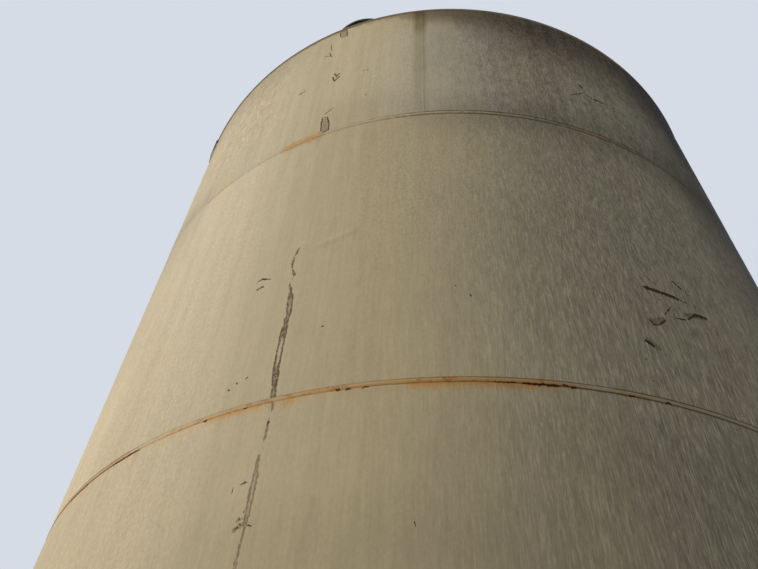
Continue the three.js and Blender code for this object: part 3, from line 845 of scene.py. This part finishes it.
def stored(mesh, name):
    data = bpy.data.meshes.new(name)
    mesh.to_mesh(data)
    mesh.free()
    return data


def drilled(mesh, *tools):
    # the mesh with the tools cut out of it
    things = [added("loose", stored(part, "loose")) for part in (mesh, *tools)]
    for tool in things[1:]:
        hole = things[0].modifiers.new("hole", "BOOLEAN")
        hole.operation, hole.solver, hole.object = "DIFFERENCE", "EXACT", tool
    seen = things[0].evaluated_get(bpy.context.evaluated_depsgraph_get())
    cut = bmesh.new()
    cut.from_mesh(seen.to_mesh())
    seen.to_mesh_clear()
    for thing in things:
        bpy.data.meshes.remove(thing.data)
    return cut


def joined(*meshes):
    whole = bmesh.new()
    for mesh in meshes:
        data = stored(mesh, "part")
        whole.from_mesh(data)
        bpy.data.meshes.remove(data)
    return whole


def repeated(template, places):
    # the template set down at every place, in one mesh
    data = stored(template, "template")
    whole = bmesh.new()
    for place in places:
        before = len(whole.verts)
        whole.from_mesh(data)
        whole.verts.ensure_lookup_table()
        bmesh.ops.transform(whole, matrix=place, verts=whole.verts[before:])
    bpy.data.meshes.remove(data)
    return whole


slots = {
    "steel": "bare_steel", "bolt": "bare_steel", "gasket": "bare_steel", "bead": "weld_paint",
    "rimBead": "weld_paint", "lowerBead": "weld_paint", "middleBead": "weld_paint",
}


def makePiece(name, mesh, finish, replaced="", place=None, slot="", crease=0):
    # the angle of sharp edges goes with the slot of the finish, unless either is given
    slot = slot or slots.get(finish, "shell_paint")
    crease = crease or (60 if slot == "weld_paint" else 34)
    if place is not None:
        moved(mesh, place)
    data = stored(tidy(mesh), name)
    data.materials.append(finishes[finish])
    data.polygons.foreach_set("use_smooth", [True] * len(data.polygons))
    data.set_sharp_from_angle(angle=radians(crease))
    piece = added(name, data)
    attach(piece, "root")
    if replaced:
        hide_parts(replaced)


def disc(radius, low, high, steps=48, soft=0.0):
    # a solid round, its edges softened
    rim = [(radius, low), (radius, high)]
    if soft:
        rim = [(radius - soft, low), (radius, low + soft), (radius, high - soft), (radius - soft, high)]
    return turned([(0, low), *rim, (0, high)], steps)


def collar(inner, outer, low, high, steps=64, soft=0.0008):
    # a round with a hole through it, its edges softened
    section = [(inner + soft, low), (outer - soft, low), (outer, low + soft), (outer, high - soft),
               (outer - soft, high), (inner + soft, high), (inner, high - soft), (inner, low + soft)]
    return turned(section, steps)


def bulge(place):
    # the soft waves of the rolled plates, drawn in along the girth welds
    side = Vector((place.x, place.y)).normalized()
    wave = ripple((side.x * 2.1, side.y * 2.1, place.z * 0.8))
    pull = sum(exp(-((place.z - seam) / 0.06) ** 2) for seam in shell["seams"])
    return shell["wave"] * wave - shell["pull"] * pull


def settle(mesh, beyond=1.0):
    # moves what lies outside a radius with the waves of the shell
    for vert in mesh.verts:
        radius = hypot(vert.co.x, vert.co.y)
        if radius > beyond:
            scale = 1 + bulge(vert.co) / radius
            vert.co.x *= scale
            vert.co.y *= scale
    return mesh


def drape(mesh, radius):
    # lowers a flat ring made round Z onto the curve of the shell
    for vert in mesh.verts:
        vert.co.z += sqrt(radius ** 2 - vert.co.x ** 2)
    return mesh


def knobbly(mesh, amount, size):
    # uneven hand-laid weld: swells and thins the bead along its run
    for vert in mesh.verts:
        lump = ripple(vert.co, size) + 0.5 * ripple(vert.co * size, 2.7)
        vert.co += Vector((vert.co.x, vert.co.y, 0)).normalized() * lump * amount
    return mesh


# shell

manway = {
    "azimuth": 180, "height": 0.762, "outer": 0.3048, "wall": 0.0095, "reach": 0.230, "flangeRadius": 0.381,
    "flangeWall": 0.014, "coverWall": 0.014, "padRadius": 0.560, "padWall": 0.00635, "telltale": 0.505,
    "bolts": 20, "boltCircle": 0.3455, "boltSize": 0.019, "handle": (0.140, 0.060, 0.008),
    "handleOffset": 0.150, "steps": 128,
}
outlet = {
    "azimuth": 90, "height": 0.305, "outer": 0.05715, "wall": 0.006, "reach": 0.152, "flangeRadius": 0.1143,
    "flangeWall": 0.0239, "faceRadius": 0.0786, "bolts": 8, "boltCircle": 0.09525, "boltHole": 0.0095,
}
drain = {
    "azimuth": -90, "height": 0.115, "outer": 0.03015, "wall": 0.0039, "reach": 0.152,
    "flangeRadius": 0.0762, "flangeWall": 0.0191, "faceRadius": 0.046, "bolts": 4,
    "boltCircle": 0.06035, "boltHole": 0.0095,
}
base = {"wall": 0.00635, "radius": 1.6884}
courses = {
    "lower": {"low": 0.00665, "high": 2.44505, "seam": -62, "weldEnds": (0.006, 0.008), "rise": 0.0011},
    "middle": {"low": 2.44535, "high": 3.96905, "seam": 88.4, "weldEnds": (0.008, 0.008), "rise": 0.0011},
    "upper": {"low": 3.96935, "high": 5.18825, "seam": -1.6, "weldEnds": (0.008, 0.004), "rise": 0.00025},
}
holesIn = {"lower_plate_a": (outlet,), "lower_plate_b": (manway, drain)}


def shellPlate(low, high, start):
    radius, inside = shell["radius"], shell["radius"] - shell["wall"]
    outside = [(radius, height) for height in evenly(low, high, round((high - low) / shell["rowHeight"]))]
    plate = turned(outside + [(inside, high), (inside, low)], shell["columns"], 180 - slit, start + slit / 2)
    return settle(plate, radius - 0.001)


def neckHole(nozzle):
    return moved(disc(nozzle["outer"] + holePlay, *drill["shell"]), outward(nozzle))


def buildShell():
    for level, course in courses.items():
        for side, turn in (("a", 0), ("b", 180)):
            name = f"{level}_plate_{side}"
            plate = shellPlate(course["low"], course["high"], course["seam"] + turn)
            if name in holesIn:
                plate = drilled(plate, *[neckHole(nozzle) for nozzle in holesIn[name]])
            makePiece(name, plate, level, f"{level}_course_plate_{side}")
    wall, radius = base["wall"], base["radius"]
    plate = turned([(0, 0), (radius - edge, 0), (radius, edge), (radius, wall - edge), (radius - edge, wall),
                    (0, wall)], 360)
    makePiece("floor_plate", plate, "lower", "bottom_plate")


# half widths and heights, and the leg of the corner weld at the foot
bead = {"girth": (0.0090, 0.0013), "plateWidth": 0.0058, "roof": (0.0070, 0.0020), "leg": 0.0062}


def beadOutline(halfWidth, height):
    # a bead's section: across it and out from the plate, starting just under the surface
    shares, sunk = [(-0.86, 0.42), (-0.55, 0.84), (0, 1), (0.55, 0.84), (0.86, 0.42)], -0.0006
    top = [(across * halfWidth, up * height) for across, up in shares]
    return [(-halfWidth, sunk), *top, (halfWidth, sunk)]


def girthWeld(seam):
    section = [(shell["radius"] + out, seam + across) for across, out in beadOutline(*bead["girth"])]
    ring = turned(section, 1440)
    for vert in ring.verts:
        x, y, z = vert.co
        out = hypot(x, y) - shell["radius"]
        swell = 1 + 0.22 * ripple(vert.co, 9) + 0.18 * ripple(vert.co, 38)
        wander = 0.0011 * ripple((x, y, 7), 6) + 0.0006 * ripple((x, y, 3), 30)
        width = 1 + 0.10 * ripple((x, y, 1), 14)
        scale = (shell["radius"] + (out * swell if out > 0 else out)) / hypot(x, y)
        vert.co = (x * scale, y * scale, seam + (z - seam) * width + wander)
    return settle(ring)


def uprightWeld(azimuth, low, high, height):
    outline = beadOutline(bead["plateWidth"], height)
    section = [(across, -shell["radius"] - out, low) for across, out in outline]
    weld = sliced(drawn(section, (0, 0, high - low)), 0.1, round((high - low) / 0.009))
    for vert in weld.verts:
        out, up = -vert.co.y - shell["radius"], vert.co.z
        if out > 0:
            swell = 1 + 0.22 * ripple((azimuth, 0, up * 9)) + 0.16 * ripple((azimuth, 5, up * 40))
            vert.co.y = -shell["radius"] - out * swell
        vert.co.x += 0.0009 * ripple((azimuth, 9, up * 7))
    return settle(tidy(moved(weld, spin(azimuth))))


def baseFillet():
    # the hollow-faced corner weld between the shell and the bottom plate
    radius, low, leg = shell["radius"], base["wall"], bead["leg"]
    outline = [(radius - 0.0006, low - 0.0004), (radius + leg, low - 0.0002),
               (radius + 0.45 * leg, low + 0.22 * leg), (radius + 0.22 * leg, low + 0.45 * leg),
               (radius - 0.0002, low + leg), (radius - 0.0010, low + leg * 0.5)]
    return knobbly(turned(outline, 1080), 0.0005, 40)


def buildWelds():
    for name, seam in zip(("lower", "middle"), shell["seams"]):
        makePiece(f"{name}_girth_bead", girthWeld(seam), f"{name}Bead", f"{name}_girth_weld")
    for level, course in courses.items():
        foot, head = course["weldEnds"]
        low, high = course["low"] + foot, course["high"] - head
        for side, turn in (("a", 0), ("b", 180)):
            weld = uprightWeld(course["seam"] + turn, low, high, course["rise"])
            makePiece(f"{level}_upright_bead_{side}", weld, level, f"{level}_vertical_weld_{side}",
                      slot="weld_paint")
    makePiece("base_fillet_bead", baseFillet(), "bead", "base_fillet_weld")


buildShell()
print("shell built")
buildWelds()
print("shell welds laid")

# roof

roof = {
    "wall": 0.00476, "slope": 1 / 12, "overhang": 0.006, "seams": (43.4, 133.4, 223.4, 313.4),
    "wave": 0.0015, "low": 5.18855, "edgeWeld": 0.0045,
}
vent = {
    "outer": 0.08415, "wall": 0.0071, "height": 0.190, "capRadius": 0.150, "capHeight": 0.095,
    "capWall": 0.003, "rod": 0.0012, "rods": 40, "hoops": 5, "hoopStep": 0.0115, "straps": 4,
}
hatch = {
    "azimuth": -15.3, "centre": 1.420, "outer": 0.2032, "wall": 0.00635, "flangeRadius": 0.240,
    "flangeWall": 0.0127, "flangeLow": 5.30195, "coverWall": 0.008, "bolts": 16, "boltCircle": 0.2225,
    "boltSize": 0.0127, "handle": (0.120, 0.050, 0.006), "steps": 96,
}
fill = {
    "azimuth": 180, "centre": 1.100, "outer": 0.04445, "wall": 0.0055, "height": 0.150,
    "flangeRadius": 0.09525, "flangeWall": 0.0239, "faceRadius": 0.0635, "bolts": 4,
    "boltCircle": 0.0762, "boltSize": 0.0159,
}
lugs = {
    "azimuths": (-57.5, 122.5), "wall": 0.0127, "halfWidth": 0.032, "drop": 0.170, "rise": 0.036,
    "taper": 0.040, "tip": 0.016, "eye": 0.010, "eyeRise": 0.0175, "corner": 0.010, "face": 1.67513,
    "thinFrom": -0.070, "footWall": 0.003, "leg": 0.0065, "room": 1.35,
}


def roofUnder(radius):
    return roof["low"] + (shell["radius"] - radius) * roof["slope"]


def roofTop(radius):
    return roofUnder(radius) + roof["wall"]


def lugRoom(azimuth):
    # what a lug takes from the edge of the roof
    room = block(2 * lugs["halfWidth"] + 0.0008, 0.040, 0.060)
    return moved(room, spin(azimuth) @ shift(0, -lugs["face"] - 0.020, shell["top"]))


def roofPlate(start):
    inner, outer, soft = vent["outer"] + holePlay, shell["radius"] + roof["overhang"], 0.001
    over = [(radius, roofTop(radius)) for radius in evenly(inner, outer - soft, 22)]
    lip = [(outer, roofTop(outer) - soft), (outer, roofUnder(outer) + soft),
           (outer - soft, roofUnder(outer))]
    plate = turned(over + lip + [(inner, roofUnder(inner))], 90, 90 - slit, start + slit / 2)
    for vert in plate.verts:
        radius = hypot(vert.co.x, vert.co.y)
        calm = min(1, (shell["radius"] - radius) / 0.25, (radius - inner) / 0.2)
        if calm > 0:
            vert.co.z += calm * roof["wave"] * ripple((vert.co.x * 1.7, vert.co.y * 1.7, 4))
    return plate


def roofWeld(azimuth):
    start, end = vent["outer"] + 0.001, shell["radius"] - 0.002
    section = [(across, -start, roofTop(start) + out) for across, out in beadOutline(*bead["roof"])]
    weld = sliced(drawn(section, (0, start - end, roofTop(end) - roofTop(start))), 0.1, 170)
    for vert in weld.verts:
        along = vert.co.y
        if vert.co.z > roofTop(-along) + 0.0002:
            vert.co.z += 0.0005 * (ripple((azimuth, 2, along * 9)) + 0.8 * ripple((azimuth, 6, along * 40)))
        vert.co.x += 0.0009 * ripple((azimuth, 9, along * 7))
    return moved(weld, spin(azimuth))


def edgeWeld(start, sweep):
    # the corner weld under the overhang of the roof, between two lugs
    leg, radius, under = roof["edgeWeld"], shell["radius"], roofUnder(shell["radius"])
    outline = [(radius - 0.0008, under + 0.0006), (radius - 0.0008, under - leg),
               (radius + 0.3 * leg, under - 0.62 * leg), (radius + 0.62 * leg, under - 0.3 * leg),
               (radius + leg, under + 0.0006)]
    return knobbly(turned(outline, round(sweep * 3), sweep, start), 0.0004, 45)


def roofTools(start):
    # what the lugs and necks take from the plate that starts at this azimuth
    past = 8  # degrees beyond the ends of the plate

    def near(azimuth):
        return (azimuth - start + past) % 360 < 90 + 2 * past

    tools = [lugRoom(azimuth) for azimuth in lugs["azimuths"] if near(azimuth)]
    for nozzle in (hatch, fill):
        if near(nozzle["azimuth"]):
            tools.append(moved(disc(nozzle["outer"] + holePlay, *drill["roof"]), onRoof(nozzle)))
    return tools


def buildRoof():
    for number, start in enumerate(roof["seams"], 1):
        plate = drilled(roofPlate(start), *roofTools(start))
        makePiece(f"roof_sheet_{number}", plate, "roof", f"roof_plate_{number}", crease=30)
        makePiece(f"roof_bead_{number}", roofWeld(start), "bead", f"roof_weld_{number}")
    for number, azimuth in enumerate(lugs["azimuths"], 1):
        weld = edgeWeld(azimuth + lugs["room"], 180 - 2 * lugs["room"])
        makePiece(f"roof_edge_bead_{number}", weld, "rimBead")


def lugBar(azimuth):
    half, tip, rise, drop, corner = (lugs[part] for part in ("halfWidth", "tip", "rise", "drop", "corner"))
    shoulder, thin = lugs["taper"] - drop, lugs["thinFrom"]
    outline = [(-tip, -drop), (tip, -drop), (half, shoulder), (half, rise - corner), (half - corner, rise),
               (corner - half, rise), (-half, rise - corner), (-half, shoulder)]
    bar = drawn([(across, 0, up) for across, up in outline], (0, -lugs["wall"], 0))
    bmesh.ops.bisect_plane(bar, geom=bar.verts[:] + bar.edges[:] + bar.faces[:], plane_co=(0, 0, thin),
                           plane_no=(0, 0, 1))
    for vert in bar.verts:
        if vert.co.z < thin and vert.co.y < -0.001:
            vert.co.y += (lugs["wall"] - lugs["footWall"]) * (thin - vert.co.z) / (drop + thin)
    eye = moved(disc(lugs["eye"], -0.05, 0.05, 40), shift(0, 0, lugs["eyeRise"]) @ spin(90, "X"))
    bar = drilled(tidy(bar), eye)
    rims = [line for line in bar.edges if len(line.link_faces) == 2 and line.calc_face_angle(0) > 0.7]
    return moved(bevelled(bar, rims, 0.0010, 2), spin(azimuth) @ shift(0, -lugs["face"], shell["top"]))


def lugWeld(azimuth):
    # the fillet down both sides and round the foot of a lug, a strand of short beads
    half, tip, drop, leg = lugs["halfWidth"], lugs["tip"], lugs["drop"], lugs["leg"]
    shoulder, high = lugs["taper"] - drop, -0.012
    path = [(half, high), (half, shoulder), (tip, -drop), (-tip, -drop), (-half, shoulder), (-half, high)]
    strands = []
    for (x0, z0), (x1, z1) in zip(path, path[1:]):
        length = hypot(x1 - x0, z1 - z0)
        strand = bmesh.new()
        bmesh.ops.create_cone(strand, cap_ends=True, segments=10, radius1=leg, radius2=leg,
                              depth=length + leg * 0.6)
        sliced(strand, length * 0.5, max(3, round(length / 0.004)))
        for vert in strand.verts:
            swell = 1 + 0.16 * ripple((azimuth + x0 * 40, vert.co.z * 60, 1))
            vert.co.x *= swell
            vert.co.y *= swell
        middle = Matrix.Translation(((x0 + x1) / 2, 0, (z0 + z1) / 2))
        strands.append(moved(strand, middle @ Matrix.Rotation(atan2(x1 - x0, z1 - z0), 4, "Y")))
    weld = joined(*strands)
    for vert in weld.verts:
        vert.co.y -= sqrt(shell["radius"] ** 2 - vert.co.x ** 2) - 0.0015
    return moved(weld, spin(azimuth) @ shift(0, 0, shell["top"]))


def buildLugs():
    for number, azimuth in enumerate(lugs["azimuths"], 1):
        makePiece(f"lug_{number}", lugBar(azimuth), "steel", f"lifting_lug_{number}")
        makePiece(f"lug_bead_{number}", lugWeld(azimuth), "bead")


buildRoof()
buildLugs()
print("roof and lugs built")

# fittings


def hexagon(across, low, high):
    # a hexagon of this width across its flats, with its top corners taken off
    corner = across / sqrt(3)
    rise = (high - low) * 0.82
    return turned([(0, low), (corner, low), (corner, low + rise), (corner * 0.86, high), (0, high)], 6)


def boltOf(size, grip):
    # a bolt down -Z through a joint of this thickness: head and washer above, the nut below
    washer, head, nut, across = 0.16 * size, 0.65 * size, 0.85 * size, 1.55 * size
    low, tail, pitch = -grip - washer - nut, 0.6 * size, 0.14 * size
    thread = [(0, low - tail), (0.40 * size, low - tail)]
    for ridge in range(int(tail / pitch)):
        foot = low - tail + (ridge + 0.35) * pitch
        thread += [(0.5 * size, foot), (0.43 * size, foot + pitch * 0.5)]
    return joined(
        disc(size, 0, washer, 16, 0.0004),
        hexagon(across, washer, washer + head),
        disc(0.48 * size, -grip - washer, 0, 12),
        disc(size, -grip - washer, -grip, 16, 0.0004),
        moved(hexagon(across, washer, washer + nut), shift(0, 0, -grip) @ spin(180, "X")),
        turned(thread + [(0.46 * size, low), (0, low)], 12),
    )


def boltPlaces(nozzle):
    return [spin(turn) @ shift(nozzle["boltCircle"], 0, 0) for turn in allRound(nozzle["bolts"], 0.5)]


def bolted(name, nozzle, top, grip, finish="bolt"):
    # bolts through the nozzle's cover and flange, with their heads on top
    places = [top @ place @ spin(37 * number) for number, place in enumerate(boltPlaces(nozzle))]
    makePiece(name, repeated(boltOf(nozzle["boltSize"], grip), places), finish)


def handleBar(span, reach, bar):
    # a round bar bent to a U along Y, standing on z = 0, with a small weld round each foot
    grip, bend, half = reach - bar, reach * 0.34, span / 2
    mesh = bmesh.new()
    ring = bmesh.ops.create_circle(mesh, cap_ends=True, segments=16, radius=bar)["verts"]
    bmesh.ops.translate(mesh, vec=(0, -half, 0), verts=ring)
    face = drawOut(mesh, mesh.faces[:][0], (0, 0, grip - bend))
    for side, lift in ((-1, (0, span - 2 * bend, 0)), (1, (0, 0, bend - grip))):
        made = bmesh.ops.spin(mesh, geom=[face], cent=(0, side * (half - bend), grip - bend),
                              axis=(-1, 0, 0), angle=pi / 2, steps=8)["geom_last"]
        face = drawOut(mesh, only(made, bmesh.types.BMFace)[0], lift)
    # extruding leaves a face across the bar at each bend
    inner = [part for part in mesh.faces if all(len(line.link_faces) > 2 for line in part.edges)]
    bmesh.ops.delete(mesh, geom=inner, context="FACES_ONLY")
    section = [(0.9, 0), (1.5, 0), (1.3, 0.35), (1.02, 0.6), (0.9, 0.6)]
    foot = turned([(bar * out, bar * up) for out, up in section], 20)
    return joined(tidy(mesh), repeated(foot, [shift(0, -half, 0), shift(0, half, 0)]))


def ringFillet(radius, leg, steps, seed):
    # a corner weld round a neck, made flat round Z with its foot on z = 0
    toe = 0.0002
    weld = turned([(radius - 0.001, -0.002), (radius + leg, -0.002), (radius + leg, toe),
                   (radius + 0.45 * leg, 0.24 * leg), (radius + 0.24 * leg, 0.45 * leg), (radius + toe, leg),
                   (radius - 0.001, leg)], steps)
    for vert in weld.verts:
        if vert.co.z > gap:
            place = (vert.co.x, vert.co.y, seed)
            vert.co.z += 0.0009 * (ripple(place, 55) + 0.6 * ripple(place, 130))
    return weld


def roofFillet(name, nozzle, steps, seed, place=Matrix()):
    # the weld round a neck follows the slope of the roof
    weld = moved(ringFillet(nozzle["outer"], 0.006, steps, seed), place)
    for vert in weld.verts:
        vert.co.z += roofTop(hypot(vert.co.x, vert.co.y))
    makePiece(name, weld, "bead")


def buildHatch():
    place = onRoof(hatch)
    outer, radius, low, steps = (hatch[part] for part in ("outer", "flangeRadius", "flangeLow", "steps"))
    top = low + hatch["flangeWall"]
    cover = top + gap + hatch["coverWall"]
    tube = collar(outer - hatch["wall"], outer, shell["top"] - neckInside, top - 0.0004, steps)
    section = [(0, top + 0.0008), (radius - 0.001, top + 0.0008), (radius, top + 0.0018),
               (radius, cover - 0.001), (radius - 0.001, cover), (0.10, cover), (0, cover)]
    makePiece("hatch_tube", tube, "fitting", "hatch_neck", place)
    ring = collar(outer + play, radius, low, top - 0.0010, steps)
    makePiece("hatch_ring", ring, "steel", "hatch_flange", place)
    gasket = collar(outer - 0.004, radius - 0.003, top - 0.0008, top + 0.0008, steps, 0.0002)
    makePiece("hatch_gasket", gasket, "gasket", place=place)
    makePiece("hatch_lid", turned(section, steps), "steel", "hatch_cover", place)
    onTop = place @ shift(0, 0, cover)
    # the hatch bolts take the near-black steel, which stands as painted shade for the nuts under the flange
    bolted("hatch_bolts", hatch, onTop, cover - low, "steel")
    makePiece("hatch_grip", handleBar(*hatch["handle"]), "steel", "hatch_handle",
              onTop @ spin(hatch["azimuth"] + 90))
    roofFillet("hatch_bead", hatch, 160, 3, place)


def buildVent():
    outer, radius, rise, wall = vent["outer"], vent["capRadius"], vent["capHeight"], vent["capWall"]
    low, top = roofUnder(outer) - neckInside, roofUnder(0) + vent["height"]
    makePiece("vent_tube", collar(outer - vent["wall"], outer, low, top, 72), "fitting", "vent_neck")
    roofFillet("vent_bead", vent, 120, 5)
    # a pressed hood over the pipe, open underneath
    foot = top + gap
    # its crown has a pit in the middle, from the first point
    over = [(0, 0.095), (0.22, 0.985), (0.45, 0.925), (0.64, 0.83), (0.80, 0.69), (0.92, 0.54),
            (0.985, 0.42), (1, 0.30), (1, 0.02)]
    under = [(radius - wall, 0.02), (radius - wall, 0.30), (0.90 * radius, 0.50), (0.76 * radius, 0.66),
             (0.5 * radius, 0.84), (0, 0.93)]
    section = [(across * radius, foot + up * rise) for across, up in over]
    section += [(across, foot + up * rise) for across, up in under]
    makePiece("vent_hood", turned(section, 72), "steel", "vent_cap", crease=40)
    # screen between the pipe and the hood, and the straps that hold it
    places = [spin(turn) @ shift(outer - 0.0035, 0, 0) for turn in allRound(vent["rods"])]
    rods = repeated(disc(vent["rod"], top - 0.004, foot + 0.62 * rise, 6), places)
    hoops = [collar(outer - 0.0047, outer - 0.0023, up, up + 0.0022, 40, 0.0002)
             for up in (top + 0.004 + vent["hoopStep"] * number for number in range(vent["hoops"]))]
    makePiece("vent_screen", joined(rods, *hoops), "bolt")
    arm = moved(block(0.070, 0.025, 0.005), shift(0.116, 0, foot + 0.020))
    leg = moved(block(0.005, 0.025, 0.068), shift(outer + 0.0022, 0, foot - 0.012))
    strap = joined(*[bevelled(part, part.edges[:], 0.0006, 1) for part in (arm, leg)])
    places = [spin(turn) for turn in allRound(vent["straps"], 0.5)]
    makePiece("vent_straps", repeated(strap, places), "steel")


def buildFill():
    place = onRoof(fill)
    outer, wall, radius, face = fill["outer"], fill["flangeWall"], fill["flangeRadius"], fill["faceRadius"]
    low = roofUnder(fill["centre"] + outer) - neckInside
    top = roofUnder(fill["centre"]) + fill["height"]
    foot = top + gap
    ring = [(outer + play, top - wall), (radius - edge, top - wall), (radius, top - wall + edge),
            (radius, top - 0.003), (radius - edge, top - 0.0018), (face + 0.0001, top - 0.0018),
            (face, top - play), (outer + play, top - play)]
    lid = [(0, foot + 0.0004), (face, foot + 0.0004), (face + 0.0001, foot + 0.0020),
           (radius - edge, foot + 0.0020), (radius, foot + 0.0032), (radius, foot + wall - edge),
           (radius - edge, foot + wall), (0, foot + wall)]
    tube = collar(outer - fill["wall"], outer, low, top - 0.001, 48)
    makePiece("fill_tube", tube, "fitting", "fill_neck", place)
    makePiece("fill_ring", turned(ring, 72), "fitting", "fill_flange", place)
    gasket = collar(outer, face, top - 0.0004, foot + 0.0006, 48, 0.0001)
    makePiece("fill_gasket", gasket, "gasket", place=place)
    makePiece("fill_lid", turned(lid, 72), "steel", "fill_blind", place)
    bolted("fill_bolts", fill, place @ shift(0, 0, foot + wall), foot + 2 * wall - top)
    roofFillet("fill_bead", fill, 100, 8, place)


def nozzleTube(nozzle, steps):
    inside = shell["radius"] - shell["wall"]
    start = sqrt(inside ** 2 - nozzle["outer"] ** 2) - neckInside
    end = shell["radius"] + nozzle["reach"] - edge
    return collar(nozzle["outer"] - nozzle["wall"], nozzle["outer"], start, end, steps)


def buildOpenNozzle(name, nozzle):
    place = outward(nozzle)
    outer, radius, raised = (nozzle[part] for part in ("outer", "flangeRadius", "faceRadius"))
    face, hub = shell["radius"] + nozzle["reach"], outer + 0.010
    back = face - nozzle["flangeWall"]
    section = [(outer + play, back), (hub, back), (hub + 0.002, back + 0.0045),
               (radius - edge, back + 0.0045), (radius, back + 0.0057), (radius, face - 0.0028),
               (radius - edge, face - 0.0016),
               (raised + play, face - 0.0016), (raised, face), (outer + play, face)]
    holes = repeated(disc(nozzle["boltHole"], back - 0.01, face + 0.01, 24), boltPlaces(nozzle))
    makePiece(f"{name}_tube", nozzleTube(nozzle, 48), "fitting", f"{name}_neck", place)
    makePiece(f"{name}_ring", drilled(turned(section, 72), holes), "fitting", f"{name}_flange", place)
    shellBead = drape(ringFillet(outer, 0.0065, 120, outer * 90), shell["radius"] + offShell)
    flangeBead = moved(ringFillet(outer, 0.0055, 120, outer * 30), shift(0, 0, back) @ spin(180, "X"))
    makePiece(f"{name}_beads", joined(shellBead, flangeBead), "bead", place=place)


def padRing():
    inner, outer, wall, soft = manway["outer"] + holePlay, manway["padRadius"], manway["padWall"], 0.0010
    radii = evenly(inner, outer - soft, 9)
    over = [(radius, wall) for radius in radii]
    under = [(radius, -0.0005) for radius in reversed(radii[:-1])]
    pad = turned(over + [(outer, wall - soft), (outer, -0.0005)] + under, 180)
    telltale = moved(disc(0.0032, -0.01, 0.02, 20), shift(0, manway["telltale"], 0))
    return drape(drilled(pad, telltale), shell["radius"] + offShell)


def buildManway():
    place = outward(manway)
    face, wall, radius = shell["radius"] + manway["reach"], manway["flangeWall"], manway["flangeRadius"]
    outer, cover, steps = manway["outer"], face + gap + manway["coverWall"], manway["steps"]
    makePiece("manway_tube", nozzleTube(manway, steps), "fitting", "manway_neck", place)
    ring = collar(outer + play, radius, face - wall, face - edge, steps)
    makePiece("manway_ring", ring, "fitting", "manway_flange", place)
    gasket = collar(outer - 0.004, radius - 0.006, face - edge, face + edge, steps, 0.0002)
    makePiece("manway_gasket", gasket, "gasket", place=place)
    lid = disc(radius, face + edge, cover, steps, edge)
    makePiece("manway_lid", lid, "fitting", "manway_cover", place)
    bolted("manway_bolts", manway, place @ shift(0, 0, cover), cover - face + wall)
    for number, side in enumerate((-1, 1), 1):
        spot = place @ shift(side * manway["handleOffset"], 0, cover)
        makePiece(f"manway_grip_{number}", handleBar(*manway["handle"]), "fitting",
                  f"manway_handle_{number}", spot)
    makePiece("manway_pad_ring", padRing(), "fitting", "manway_pad", place)
    padBead = drape(ringFillet(manway["padRadius"], 0.006, 360, 21), shell["radius"] + 0.0002)
    neckBead = drape(ringFillet(outer, 0.009, 260, 22), shell["radius"] + manway["padWall"])
    flangeBead = moved(ringFillet(outer, 0.008, 260, 23), shift(0, 0, face - wall) @ spin(180, "X"))
    makePiece("manway_beads", joined(padBead, neckBead, flangeBead), "bead", place=place)


buildHatch()
buildVent()
buildFill()
print("roof fittings built")
buildOpenNozzle("outlet", outlet)
buildOpenNozzle("drain", drain)
buildManway()
print("shell fittings built")

# floor


def layFloor():
    ground = Finish("paleFloor")
    soft = ground.noise((1, 1, 1), 1.4, 4, 0.6)
    grain = ground.noise((1, 1, 1), 180, 3, 0.6)
    colour = ground.mix(soft.between(0.3, 0.7), "floor", "floorPale")
    mesh = bmesh.new()
    bmesh.ops.create_grid(mesh, x_segments=1, y_segments=1, size=60)
    data = stored(mesh, "floor")
    data.materials.append(ground.close(colour, 0.85, grain * 0.0002, gloss=0.2))
    floor = added("floor", data)
    floor.location.z = -0.0005


layFloor()
print("floor laid")
